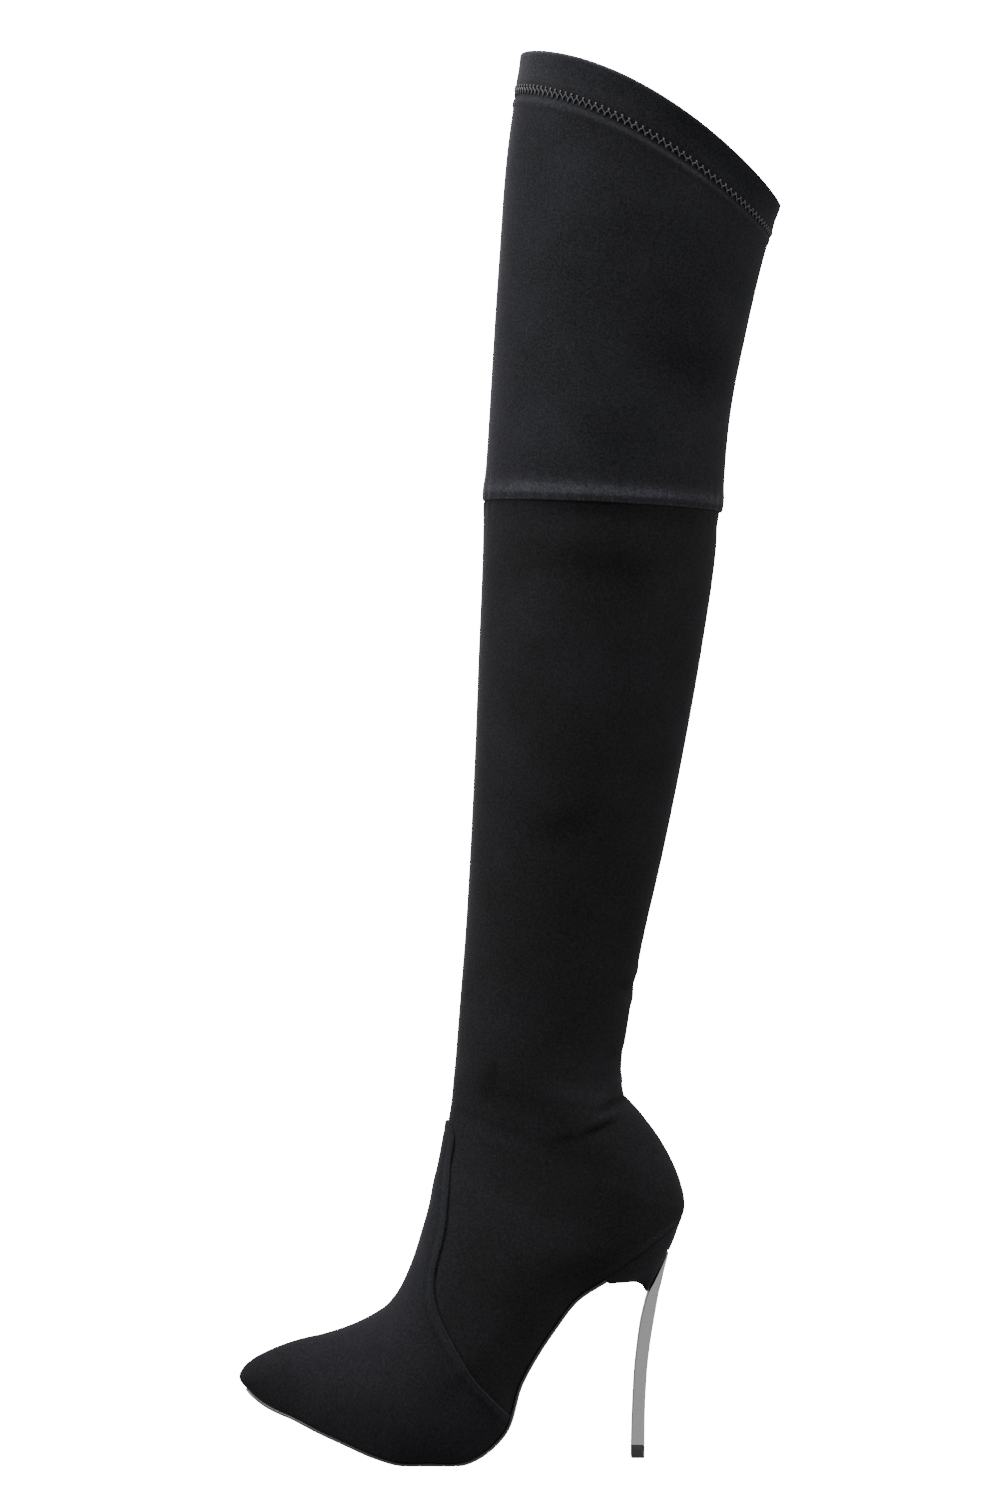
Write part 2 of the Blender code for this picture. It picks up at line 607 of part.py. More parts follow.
def block_outline():
    """The heel seat's outline from the front of its outer side, round the back, to the inner side."""
    turn = np.linspace(0, np.pi / 2, BLOCK_SIDE_POINTS)
    along = ALONG_BREAST + (ALONG_SEAT_BACK - ALONG_BREAST) * np.sin(turn)
    inner = feather_edge(along, 1, SOLE_INSET, -GAP)
    outer = feather_edge(along, 0, SOLE_INSET, -GAP)
    return np.concatenate((outer, inner[-2::-1]))


def make_heel_block():
    """Wedge between heel seat and metal heel. Its levels shrink from the seat towards the blade's front."""
    top = block_outline()
    front_end = (top[0] + top[-1]) / 2
    back_end = top[len(top) // 2]
    run = back_end - front_end
    share = ((top - front_end) @ run) / (run @ run)
    chord = front_end + share[:, None] * run
    lateral = top[:, 1] - chord[:, 1]
    bulge = top - chord
    bulge[:, 1] = 0.0
    sections = np.linspace(len(BLOCK_SECTIONS) - 1, 0, BLOCK_LEVELS)
    levels = np.interp(sections, np.arange(len(BLOCK_SECTIONS)), table(BLOCK_COLUMNS, BLOCK_SECTIONS)["down"])
    loops = []
    for down in levels:
        front, back, narrow = block_level(down, front_end, back_end)
        level = front + share[:, None] * (back - front) + bulge * (1 - down)
        level[:, 1] += lateral * narrow
        loops.append(seat_on_blade(level))
    block = loops_solid("heel_block", loops)
    shade(block)
    paint(block, "block_suede", (0.010, 0.010, 0.011), 0.9)
    return block


def block_level(down, front_end, back_end):
    """Front and back ends of one level of the block, and its width as a share of the seat's."""
    rows = table(BLOCK_COLUMNS, BLOCK_SECTIONS)
    level = np.array([down])
    blade_front, _, tip_z, _ = (row[0] for row in blade_rows(np.array([BLOCK_TIP])))
    tip = np.array((blade_front - GAP, back_end[1], tip_z))
    front_share = curve(rows["down"], rows["front"], level)[0]
    back_share = curve(rows["down"], rows["back"], level)[0]
    sag = HEEL_HEIGHT * curve(rows["down"], rows["sag"], level)[0]
    front = front_end + front_share * (tip - front_end)
    front[2] -= sag
    back = back_end + back_share * (tip - back_end)
    back[0] += HEEL_HEIGHT * curve(rows["down"], rows["bow"], level)[0]
    return front, back, curve(rows["down"], rows["width"], level)[0]


def seat_on_blade(level):
    """Points of a level held a clearance before the metal heel's front face, and above its top."""
    front, _, z, _ = blade_rows(np.linspace(0, BLADE_TOP, BLADE_LEVELS))
    limit = np.interp(level[:, 2], z, front) - GAP
    limit = np.where(level[:, 2] > z[-1] + RECESS_RISE, np.inf, limit)
    held = level.copy()
    held[:, 0] = np.minimum(held[:, 0], limit)
    return held


def place_at_origin(pieces):
    """Hang all pieces on one empty, with the origin under the middle of the boot's box."""
    corners = np.concatenate([[tuple(vertex.co) for vertex in piece.data.vertices] for piece in pieces])
    middle = (corners.min(axis=0) + corners.max(axis=0)) / 2
    boot = bpy.data.objects.new("boot", None)
    bpy.context.collection.objects.link(boot)
    boot.location = (-middle[0], -middle[1], 0.0)
    return boot


def main():
    for old in list(bpy.data.objects):
        bpy.data.objects.remove(old, do_unlink=True)
    vamp, cutter = make_vamp()
    pieces = [make_upper(), vamp, make_outsole(), make_insole(), make_heel_block(), make_heel_blade(),
              make_top_lift()]
    boot = place_at_origin(pieces)
    for piece in (*pieces, cutter):
        piece.parent = boot


main()
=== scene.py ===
# %% [markdown]
# A thigh high boot is a tall sock of stretch cloth, pulled over a last and closed underneath by a thin sole.
# The solids that carry it come from the fixed frame. This script gives them their looks: the finer surface
# of the cloth, its seams, stitches and creases, and the finish of the leather, steel and rubber.
# Lengths are in metres, the toe points along -X, and the outer side of the left foot faces -Y.

import bpy
import numpy as np
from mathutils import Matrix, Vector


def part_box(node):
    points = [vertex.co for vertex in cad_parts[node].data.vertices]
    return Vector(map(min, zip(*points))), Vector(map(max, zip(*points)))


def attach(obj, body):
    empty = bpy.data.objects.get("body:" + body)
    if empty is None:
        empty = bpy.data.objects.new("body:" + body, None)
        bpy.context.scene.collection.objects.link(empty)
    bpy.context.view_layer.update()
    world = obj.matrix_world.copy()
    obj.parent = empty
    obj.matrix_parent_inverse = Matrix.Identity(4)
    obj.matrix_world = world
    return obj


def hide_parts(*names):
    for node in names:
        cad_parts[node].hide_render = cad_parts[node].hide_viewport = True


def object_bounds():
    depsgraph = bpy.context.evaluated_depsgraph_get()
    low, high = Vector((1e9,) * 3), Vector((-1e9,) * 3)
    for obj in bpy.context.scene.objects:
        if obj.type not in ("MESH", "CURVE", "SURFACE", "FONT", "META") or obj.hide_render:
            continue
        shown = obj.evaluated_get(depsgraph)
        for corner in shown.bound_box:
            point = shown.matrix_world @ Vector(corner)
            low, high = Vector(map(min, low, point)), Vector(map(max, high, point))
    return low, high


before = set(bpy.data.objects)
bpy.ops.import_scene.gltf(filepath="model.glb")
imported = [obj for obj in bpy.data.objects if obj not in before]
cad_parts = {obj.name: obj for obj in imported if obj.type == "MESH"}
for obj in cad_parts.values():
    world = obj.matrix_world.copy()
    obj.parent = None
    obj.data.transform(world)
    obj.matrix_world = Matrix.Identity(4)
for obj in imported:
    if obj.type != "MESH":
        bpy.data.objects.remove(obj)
CAD_BOX = [[float(number) for number in corner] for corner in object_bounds()]
print("frame box, mm:", [[round(1000 * number, 1) for number in corner] for corner in CAD_BOX])

# %% [markdown]
# The photograph is a plain side view: a level camera, a long way off, looks along +Y. One pixel of it covers
# the same length everywhere on the boot's middle plane. The camera's place follows from that length, from
# the pixel of the toe's tip and from the pixel row of the floor.

# %% Camera
PHOTO_WIDTH, PHOTO_HEIGHT = 1000, 1500
PIXEL = 0.00051  # metres covered by one pixel on the boot's middle plane
TOE_PIXEL_X = 239
FLOOR_PIXEL_Y = 1457
CAMERA_DISTANCE = 2.7


def make_camera():
    """A level camera whose frame is PHOTO_HEIGHT pixels tall at its distance from the boot."""
    camera = bpy.data.objects.new("camera", bpy.data.cameras.new("camera"))
    bpy.context.scene.collection.objects.link(camera)
    x = CAD_BOX[0][0] + (PHOTO_WIDTH / 2 - TOE_PIXEL_X) * PIXEL
    z = (FLOOR_PIXEL_Y - PHOTO_HEIGHT / 2) * PIXEL
    camera.location = (x, -CAMERA_DISTANCE, z)
    camera.rotation_euler = (np.pi / 2, 0, 0)
    camera.data.lens = camera.data.sensor_width * CAMERA_DISTANCE / (PHOTO_HEIGHT * PIXEL)
    camera.data.clip_end = 50
    bpy.context.scene.camera = camera
    return camera


camera = make_camera()
print("camera at, m:", [round(number, 3) for number in camera.location])
print("lens, mm:", round(camera.data.lens, 1))

# %% [markdown]
# The boot's form is a fan of sections. Each lies between a point on the front line, from the toe over the
# instep and shin to the collar, and a point on the back line, from the sole over the heel and calf. The
# tables hold the sections as shares of the boot's own sizes, and a smooth curve through each column gives
# the form anywhere between them. It is the form that the frame's solids have.

# %% Sizes of the last and the shaft
FOOT_LENGTH = 0.2274
HEEL_HEIGHT = 0.1230
TOE_SPRING = 0.0335
INSTEP_HEIGHT = 0.0800
BALL_WIDTH = 0.0820
ANKLE_RISE = 0.0735
SHAFT_HEIGHT = 0.4420
SHAFT_LEAN = 0.0568
THIGH_DEPTH = 0.1318
THIGH_WIDTH = 0.1180
COLLAR_SLANT = 0.0770
COLLAR_BOW = 0.0130
UPPER_WALL = 0.0018
VAMP_WALL = 0.0010
KNEE_STEP = 0.0014
KNEE_FADE = 0.0300
HEM_STEP = 0.0006
HEM_WIDTH = 0.0190
OUTSOLE_THICKNESS = 0.0022
INSOLE_THICKNESS = 0.0022
LIFT_HEIGHT = 0.0066
BLADE_DEPTH = 0.0070
BLADE_WIDTH = 0.0110
GAP = 0.0003
SOLE_INSET = 0.0003
SOLE_END = 0.0008
SOLE_TOP = OUTSOLE_THICKNESS + GAP
PITCH = HEEL_HEIGHT - SOLE_TOP
TINY = 1e-9

# %% Tables of the sections
# front_x and back_x are shares of FOOT_LENGTH, rise of INSTEP_HEIGHT, spring of TOE_SPRING, pitch of PITCH,
# and width and swing of BALL_WIDTH. feather is the sole's width as a share of the section's.
FOOT_COLUMNS = (
    "front_x", "rise", "back_x", "spring", "pitch", "width", "swing", "feather", "widest", "full",
)
FOOT_SECTIONS = (
    (0.020, 0.003, 0.020, 1.00, 0.00, 0.00, 0.065, 0.75, 0.40, 2.0),
    (0.006, 0.058, 0.024, 0.97, 0.00, 0.09, 0.065, 0.78, 0.40, 2.0),
    (0.013, 0.144, 0.035, 0.90, 0.00, 0.16, 0.063, 0.82, 0.38, 2.0),
    (0.033, 0.235, 0.053, 0.81, 0.00, 0.24, 0.060, 0.87, 0.36, 2.0),
    (0.069, 0.328, 0.079, 0.72, 0.00, 0.34, 0.055, 0.90, 0.34, 2.1),
    (0.132, 0.445, 0.128, 0.60, 0.00, 0.50, 0.045, 0.92, 0.32, 2.1),
    (0.195, 0.560, 0.185, 0.43, 0.00, 0.66, 0.032, 0.93, 0.30, 2.1),
    (0.253, 0.684, 0.246, 0.265, 0.00, 0.80, 0.020, 0.93, 0.30, 2.1),
    (0.298, 0.815, 0.308, 0.10, 0.00, 0.91, 0.008, 0.93, 0.30, 2.1),
    (0.330, 0.914, 0.365, 0.00, 0.00, 0.98, 0.000, 0.92, 0.30, 2.1),
    (0.353, 0.985, 0.431, 0.00, 0.00, 1.00, -0.006, 0.91, 0.31, 2.1),
    (0.370, 1.062, 0.501, 0.00, 0.00, 0.99, -0.012, 0.88, 0.32, 2.1),
    (0.395, 1.062, 0.589, 0.00, 0.11, 0.92, -0.025, 0.74, 0.35, 2.1),
    (0.415, 0.925, 0.629, 0.00, 0.32, 0.88, -0.035, 0.60, 0.37, 2.1),
    (0.433, 0.765, 0.704, 0.00, 0.55, 0.84, -0.030, 0.54, 0.39, 2.1),
    (0.441, 0.700, 0.757, 0.00, 0.675, 0.82, -0.022, 0.58, 0.40, 2.1),
    (0.448, 0.665, 0.818, 0.00, 0.752, 0.80, -0.015, 0.67, 0.41, 2.2),
    (0.455, 0.624, 0.888, 0.00, 0.84, 0.78, -0.005, 0.75, 0.42, 2.2),
    (0.461, 0.604, 0.941, 0.00, 0.915, 0.78, 0.000, 0.66, 0.43, 2.2),
    (0.466, 0.604, 0.976, 0.00, 0.965, 0.78, 0.000, 0.44, 0.44, 2.2),
    (0.470, 0.613, 0.995, 0.00, 1.00, 0.78, 0.000, 0.00, 0.45, 2.2),
    (0.474, 0.588, 1.000, 0.00, 1.06, 0.78, 0.000, 0.00, 0.46, 2.1),
    (0.477, 0.512, 0.990, 0.00, 1.15, 0.79, 0.000, 0.00, 0.47, 2.1),
    (0.480, 0.362, 0.950, 0.00, 1.31, 0.80, 0.000, 0.00, 0.48, 2.0),
    (0.483, 0.269, 0.904, 0.00, 1.43, 0.81, 0.000, 0.00, 0.49, 2.0),
    (0.486, 0.219, 0.865, 0.00, 1.52, 0.81, 0.000, 0.00, 0.50, 2.0),
)
HEEL_SEAT_BACK = 20
BREAST = 16
TONGUE_TOP = 20

# up is a share of SHAFT_HEIGHT, lean of SHAFT_LEAN and slant of COLLAR_SLANT. depth and width run from the
# ankle's own, 0, to the collar's, 1.
ANKLE_FRONT_X = 0.489
ANKLE_BACK_X = 0.858
ANKLE_WIDTH = 0.81
SHAFT_COLUMNS = ("up", "lean", "depth", "width", "slant")
SHAFT_SECTIONS = (
    (0.000, 0.000, 0.000, 0.00, 0.203),
    (0.045, 0.035, 0.025, 0.01, 0.176),
    (0.143, 0.128, 0.123, 0.13, 0.095),
    (0.249, 0.243, 0.292, 0.32, 0.027),
    (0.362, 0.353, 0.456, 0.51, 0.000),
    (0.493, 0.464, 0.623, 0.63, 0.000),
    (0.579, 0.532, 0.700, 0.68, 0.040),
    (0.647, 0.572, 0.735, 0.73, 0.075),
    (0.762, 0.649, 0.781, 0.84, 0.297),
    (0.855, 0.750, 0.883, 0.92, 0.459),
    (0.939, 0.866, 0.975, 0.98, 0.716),
    (1.000, 1.000, 1.000, 1.00, 1.000),
)
KNEE = 7

# along runs from the toe, 0, to the top of the tongue, 1, and around from the feather edge to the front.
VAMP_EDGE = (  # along, around
    (0.575, 0.00),
    (0.560, 0.09),
    (0.545, 0.16),
    (0.540, 0.22),
    (0.542, 0.28),
    (0.558, 0.32),
    (0.600, 0.344),
    (0.700, 0.362),
    (0.800, 0.384),
    (0.880, 0.400),
    (0.945, 0.412),
    (0.982, 0.435),
    (0.996, 0.470),
    (1.000, 0.500),
)


# %% Curves through the tables
def table(columns, rows):
    """The rows of a table as one array for each named column."""
    return dict(zip(columns, np.array(rows, dtype=float).T))


def curve(knots, values, at):
    """Cubic pieces through values at knots. Each slope is the mean of the two neighbouring straight runs."""
    steps = np.diff(knots)
    slopes = np.diff(values) / steps
    inner = (slopes[:-1] * steps[1:] + slopes[1:] * steps[:-1]) / (steps[:-1] + steps[1:])
    tangents = np.concatenate(([slopes[0]], inner, [slopes[-1]]))
    index = np.clip(np.searchsorted(knots, at, side="right") - 1, 0, len(steps) - 1)
    width = steps[index]
    t = (at - knots[index]) / width
    start = values[index] * (2 * t**3 - 3 * t**2 + 1) + width * tangents[index] * (t**3 - 2 * t**2 + t)
    end = values[index + 1] * (3 * t**2 - 2 * t**3) + width * tangents[index + 1] * (t**3 - t**2)
    return start + end


def section_rows():
    """Every section from toe to collar in metres, its place along the boot and the way walked to it."""
    foot = table(FOOT_COLUMNS, FOOT_SECTIONS)
    shaft = table(SHAFT_COLUMNS, SHAFT_SECTIONS)
    foot_z = SOLE_TOP + TOE_SPRING * foot["spring"] + PITCH * foot["pitch"]
    shaft_z = HEEL_HEIGHT + ANKLE_RISE + SHAFT_HEIGHT * shaft["up"]
    ankle_depth = FOOT_LENGTH * (ANKLE_BACK_X - ANKLE_FRONT_X)
    ankle_width = BALL_WIDTH * ANKLE_WIDTH
    middle = FOOT_LENGTH * (ANKLE_BACK_X + ANKLE_FRONT_X) / 2 + SHAFT_LEAN * shaft["lean"]
    depth = ankle_depth + (THIGH_DEPTH - ankle_depth) * shaft["depth"]
    shaft_width = ankle_width + (THIGH_WIDTH - ankle_width) * shaft["width"]
    plain = np.zeros(len(middle))
    pairs = {
        "front_x": (FOOT_LENGTH * foot["front_x"], middle - depth / 2),
        "front_z": (foot_z + INSTEP_HEIGHT * foot["rise"], shaft_z + COLLAR_SLANT * shaft["slant"]),
        "back_x": (FOOT_LENGTH * foot["back_x"], middle + depth / 2),
        "back_z": (foot_z, shaft_z),
        "half_width": ((BALL_WIDTH / 2 * foot["width"]) ** 2, (shaft_width / 2) ** 2),
        "swing": (BALL_WIDTH * foot["swing"], plain),
        "feather": (foot["feather"] ** 2, plain),
        "widest": (foot["widest"], plain + 0.5),
        "full": (foot["full"], plain + 2.0),
    }
    rows = {name: np.concatenate(pair) for name, pair in pairs.items()}
    front = np.hypot(np.diff(rows["front_x"]), np.diff(rows["front_z"]))
    back = np.hypot(np.diff(rows["back_x"]), np.diff(rows["back_z"]))
    rows["along"] = np.concatenate(([0.0], np.cumsum((front + back) / 2)))
    rows["walk"] = np.concatenate(([0.0], np.cumsum(np.maximum(front, back))))
    return rows


ROWS = section_rows()
SHAFT_START = len(FOOT_SECTIONS)
ALONG_SEAT_BACK = ROWS["along"][HEEL_SEAT_BACK]
ALONG_BREAST = ROWS["along"][BREAST]
ALONG_TONGUE = ROWS["along"][TONGUE_TOP]
ALONG_KNEE = ROWS["along"][SHAFT_START + KNEE]
ALONG_COLLAR = ROWS["along"][-1]
ALONG_HEM = ALONG_COLLAR - HEM_WIDTH
TIP_BEHIND = 0.157  # how far the heel's tip lies before the heel seat's back, as a share
TIP_BACK = ROWS["back_x"][HEEL_SEAT_BACK] - HEEL_HEIGHT * TIP_BEHIND
FRAME_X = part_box("top_lift")[1].x - TIP_BACK  # from toe measure to the frame
print("boot's length along its middle line, mm:", round(1000 * ALONG_COLLAR))


# %% The outer form
def value(name, along):
    """One column of the sections at places along the boot."""
    return curve(ROWS["along"], ROWS[name], along)


def form_half_width(along):
    """Half the form's width, from its smoothly curved square."""
    return np.sqrt(np.maximum(value("half_width", along), 0))


def outline(along, around):
    """Points of the outer form. around runs from the outer feather edge, 0, over the front, 0.5, to 1.

    With angle a, a point lies the half width times C(a) to the side, where C and S are the cosine and sine
    to the power 2 / full. Its share of the way from the back point to the front point is w + (1 - w) S(a)
    above the widest place w, and w - w S(a) / S(a0) below it, where a0 is the feather edge's angle.
    """
    along, around = np.broadcast_arrays(along, around)
    power = 2 / value("full", along)
    share = np.sqrt(np.clip(value("feather", along), 0, 1))
    share = np.where(along >= ALONG_SEAT_BACK, 0.0, share)
    start = -np.arccos(share ** (1 / power))
    angle = start + (np.pi - 2 * start) * around
    rise = np.sign(np.sin(angle)) * np.abs(np.sin(angle)) ** power
    side = np.sign(np.cos(angle)) * np.abs(np.cos(angle)) ** power
    depth = np.abs(np.sin(start)) ** power
    widest = value("widest", along)
    way = widest + np.where(rise > 0, (1 - widest) * rise, widest * rise / depth)
    back_x, back_z = value("back_x", along), value("back_z", along)
    x = FRAME_X + back_x + way * (value("front_x", along) - back_x)
    z = back_z + way * (value("front_z", along) - back_z)
    y = value("swing", along) - form_half_width(along) * side
    above_knee = np.clip((along - ALONG_KNEE) / (ALONG_COLLAR - ALONG_KNEE), 0, None)
    z = z + COLLAR_BOW * above_knee**2 * side**2
    return np.stack((x, y, z), axis=-1)


READ_STEP = 0.0002  # small steps along the form and round it, over which directions are read
READ_TURN = 0.0020
READ_END = 0.0010  # directions are read at least this far from either end


def unit(vectors):
    """Vectors brought to length one."""
    return vectors / np.maximum(np.linalg.norm(vectors, axis=-1, keepdims=True), TINY)


def normal(along, around):
    """Outward directions: the cross product of a small step along the form and one around it."""
    along, around = np.broadcast_arrays(along, around)
    place = np.clip(along, READ_END, ALONG_COLLAR - READ_END)
    run = outline(place + READ_STEP, around) - outline(place - READ_STEP, around)
    turn = outline(place, around + READ_TURN) - outline(place, around - READ_TURN)
    return unit(np.cross(run, turn))


def seat_up(along):
    """Upward directions of the surface that the sole makes, square to the back line and to Y."""
    place = np.clip(along, READ_END, ALONG_SEAT_BACK - READ_END)
    dx = value("back_x", place + READ_STEP) - value("back_x", place - READ_STEP)
    dz = value("back_z", place + READ_STEP) - value("back_z", place - READ_STEP)
    return unit(np.stack((-dz, np.zeros_like(dx), dx), axis=-1))


def feather_out(along, side):
    """Directions out of the feather edge, level with the sole. side is 0 outer or 1 inner."""
    place = np.clip(along, READ_STEP, ALONG_SEAT_BACK - READ_STEP)
    run = outline(place + READ_STEP, side) - outline(place - READ_STEP, side)
    return unit(np.cross(run, seat_up(along))) * (1 if side == 0 else -1)


def feather_line(along, side, inset):
    """Points of a feather edge, drawn in level with the sole."""
    return outline(along, side) - inset * feather_out(along, side)


FEATHER_BLEND = 0.04  # share of a section's outline that turns level with the sole


def skin(along, around, lift):
    """Points at a height over the form.

    Near the feather edges, above the sole, the direction of the height turns level with the sole.
    """
    along, around, lift = np.broadcast_arrays(along, around, lift)
    outward = normal(along, around)
    for side in (0, 1):
        near = np.clip(1 - np.abs(around - side) / FEATHER_BLEND, 0, 1) ** 2
        near = np.where(along < ALONG_SEAT_BACK, near, 0)[..., None]
        outward = unit(outward * (1 - near) + feather_out(along, side) * near)
    return outline(along, around) + lift[..., None] * outward


# %% [markdown]
# Stretch cloth on a firm form shows few folds: a soft crease in front of the heel tendon, small wrinkles up
# the back of the ankle, a ridge where the thigh panel is turned and lapped over the shin, and pulled places
# beside each seam. They are placed one by one. Each row of the table is one crease: the line it follows in
# side view, in millimetres from the toe's tip and from the floor, how wide and how high it is, and its side.

# %% Creases
CREASES = (  # from x, from z, to x, to z, half width, height, side
    (199.0, 185.5, 184.0, 179.5, 1.9, -0.9, 0),
    (192.0, 174.0, 176.0, 166.5, 1.5, -1.0, 0),
    (193.0, 177.5, 178.0, 171.0, 2.2, 0.5, 0),
    (176.0, 166.5, 158.0, 161.5, 2.4, -0.35, 0),
    (206.0, 248.0, 196.0, 250.5, 2.4, 0.5, 0),
    (205.0, 242.0, 192.0, 241.0, 2.2, -0.5, 0),
    (204.0, 235.0, 194.0, 232.5, 2.2, 0.45, 0),
    (200.0, 209.0, 188.0, 205.0, 2.6, -0.35, 0),
    (198.0, 194.0, 190.0, 192.0, 2.2, 0.5, 0),
    (186.0, 300.0, 172.0, 262.0, 7.0, -0.35, 1),
    (124.0, 178.0, 132.0, 205.0, 4.0, -0.3, 0),
    (150.0, 318.0, 196.0, 330.0, 9.0, -0.35, 0),
    (160.0, 455.0, 214.0, 447.0, 9.0, -0.45, -1),
    (152.0, 540.0, 176.0, 500.0, 8.0, 0.3, -1),
    (140.0, 520.0, 150.0, 560.0, 9.0, -0.3, 1),
    (205.0, 560.0, 250.0, 548.0, 12.0, -0.4, 0),
    (100.0, 30.0, 128.0, 52.0, 5.0, -0.25, 0),
)
CREASE_FADE = 0.35  # share of a crease's length over which each end dies away
MM = 0.001
WAVE_SCALE = 1.6  # the sum of sines, divided by this, seldom passes 1


def creases(points):
    """Height of all creases at points of the form.

    A crease is a bell across its line, exp(-(distance / half width)^2), times the same bell for how far a
    point lies past either end of its line. side is -1 outer, 1 inner, 0 both.
    """
    height = np.zeros(points.shape[:-1])
    for from_x, from_z, to_x, to_z, half_width, high, side in CREASES:
        start = np.array((FRAME_X + from_x * MM, from_z * MM))
        run = np.array((to_x - from_x, to_z - from_z)) * MM
        length = np.hypot(*run)
        offset = points[..., (0, 2)] - start
        way = offset @ run / length
        across = (offset[..., 0] * run[1] - offset[..., 1] * run[0]) / length
        fade = CREASE_FADE * length
        past = np.maximum(fade - way, 0) + np.maximum(way - (length - fade), 0)
        shape = np.exp(-(across / (half_width * MM)) ** 2 - (past / fade) ** 2)
        if side:
            shape = shape * fade_in(side * points[..., 1], over=0.010)
        height += high * MM * shape
    return height


def bell(distance, half_width):
    """A smooth bump of height one, exp(-(distance / half width)^2)."""
    return np.exp(-(distance / half_width) ** 2)


def fade_in(distance, over):
    """From 0 straight up to 1 over a length."""
    return np.clip(distance / over, 0, 1)


def waves(at, seed, finest=5):
    """A smooth uneven line between -1 and 1: sines of growing pace with phases drawn from a seed."""
    random = np.random.default_rng(seed)
    total = np.zeros(np.shape(at))
    for pace in range(1, finest + 1):
        total = total + np.sin(2 * np.pi * (pace * at + random.random())) / pace
    return total / WAVE_SCALE


def ripple(around, count):
    """An even wave with count crests round the leg."""
    return np.sin(2 * np.pi * count * around)


def pulls(around, count, wander, seed):
    """A wave with count crests round the leg, at uneven distances: pulled places beside a seam."""
    return np.sin(2 * np.pi * (count * around + wander * waves(around, seed)))


def to_front(around):
    """0 at the back, 1 in front, (1 - cos(2 pi around)) / 2."""
    return 0.5 - 0.5 * np.cos(2 * np.pi * around)


def to_sides(around):
    """0 at the back and in front, 1 at both sides, sin(2 pi around)^2."""
    return np.sin(2 * np.pi * around) ** 2


print("creases:", len(CREASES))

# %% [markdown]
# Other relief runs in bands along the seams. A painted highlight makes each roll and edge paler, and painted
# shade makes each trough darker. A row says how far a band lies past its seam, its half width, and its
# height or its painted light.

# %% Bands beside the seams
RELIEF = {  # metres past the seam, half width, height
    "knee_roll": (0.0045, 0.0055, 0.0006),
    "knee_stitches": (0.0014, 0.0006, -0.0003),
    "knee_pulls": (0.0, 0.0120, 0.00020),
    "shin_pulls": (-0.0040, 0.0060, 0.00018),
    "shin_hollow": (-0.0090, 0.0060, -0.0005),
    "hem_ridge": (-0.0048, 0.0016, 0.00064),
    "hem_groove": (0.0, 0.0022, -0.0005),
    "cuff_hollow": (0.0090, 0.0060, -0.0004),
    "back_seam": (0.0, 0.0010, -0.0005),
    "back_welt": (0.0028, 0.0016, 0.00035),
    "vamp_bead": (0.0026, 0.0012, 0.00014),
    "vamp_sewn": (0.00546, 0.0012, -0.00007),
}
PAINTED_LIGHT_BANDS = {  # metres past the seam, half width, painted light: above 0 a painted highlight, below 0 painted shade
    "knee_roll": (0.0045, 0.0044, 0.46),
    "knee_roll_sides": (0.0045, 0.0044, 0.32),
    "lap_edge": (0.0, 0.0007, 0.20),
    "lap_stitches": (0.0, 0.0007, 0.90),
    "under_roll": (0.0016, 0.0008, -0.35),
    "hem_ridge": (-0.0048, 0.0020, 0.28),
    "collar": (0.0, 0.0010, 0.85),
    "seat_edge": (0.0014, 0.0012, 0.35),
    "vamp_bead": (0.0026, 0.0012, 0.14),
    "vamp_sewn": (0.00572, 0.0012, -0.12),
    "vamp_edge": (0.0, 0.0005, 0.30),
}
PAINTED_LIGHT_OF_RELIEF = 0.6  # a ridge of 1 mm gets this much painted highlight, a trough as much painted shade


def band(bands, name, past_seam):
    """One band of a table at distances past its seam."""
    place, half_width, height = bands[name]
    return height * bell(past_seam - place, half_width)


print("bands of relief:", len(RELIEF), "bands of rubbed nap:", len(PAINTED_LIGHT_BANDS))

# %% [markdown]
# Cloth has two faces and an edge, so each cloth piece is one closed wall: a fine grid of points outside, a
# coarser one inside, and rims that join them. One function makes all of them. Where the wall closes round
# the leg, the last column of the grid is the first one, and at the toe's tip the first row is one point.


# %% Closed walls from two grids
def numbered(points, open_rows, pole, first):
    """A grid of point numbers in which shared points have one number, and the points in that order."""
    rows, columns = points.shape[:2]
    index = np.arange(rows * columns).reshape(rows, columns)
    index[open_rows:, -1] = index[open_rows:, 0]
    if pole:
        index[0, :] = index[0, 0]
    used, compact = np.unique(index, return_inverse=True)
    return compact.reshape(index.shape) + first, points.reshape(-1, points.shape[-1])[used]


def quads(index):
    """The four-sided faces of a grid of point numbers, facing out."""
    faces = np.stack((index[:-1, :-1], index[1:, :-1], index[1:, 1:], index[:-1, 1:]), axis=-1)
    return faces.reshape(-1, 4)


def tidy_faces(faces):
    """Faces without repeated corners, so those at a pole become triangles."""
    tidy = []
    for face in faces:
        corners = [corner for place, corner in enumerate(face) if corner != face[place - 1]]
        if len(corners) > 2:
            tidy.append(corners)
    return tidy


def mesh_piece(name, points, faces, smooth_angle=40):
    """A smooth-shaded mesh object at the origin. Edges sharper than the angle stay crisp.

    A fourth number of each point, where there is one, is kept as a point attribute that carries painted
    highlights and painted shade.
    """
    mesh = bpy.data.meshes.new(name)
    mesh.from_pydata(points[:, :3].tolist(), [], faces)
    if points.shape[1] > 3:
        painted_light = mesh.attributes.new("painted_light", "FLOAT", "POINT")
        painted_light.data.foreach_set("value", points[:, 3].astype(np.float32))
    mesh.validate()
    mesh.shade_smooth()
    mesh.set_sharp_from_angle(angle=np.radians(smooth_angle))
    piece = bpy.data.objects.new(name, mesh)
    bpy.context.scene.collection.objects.link(piece)
    return piece


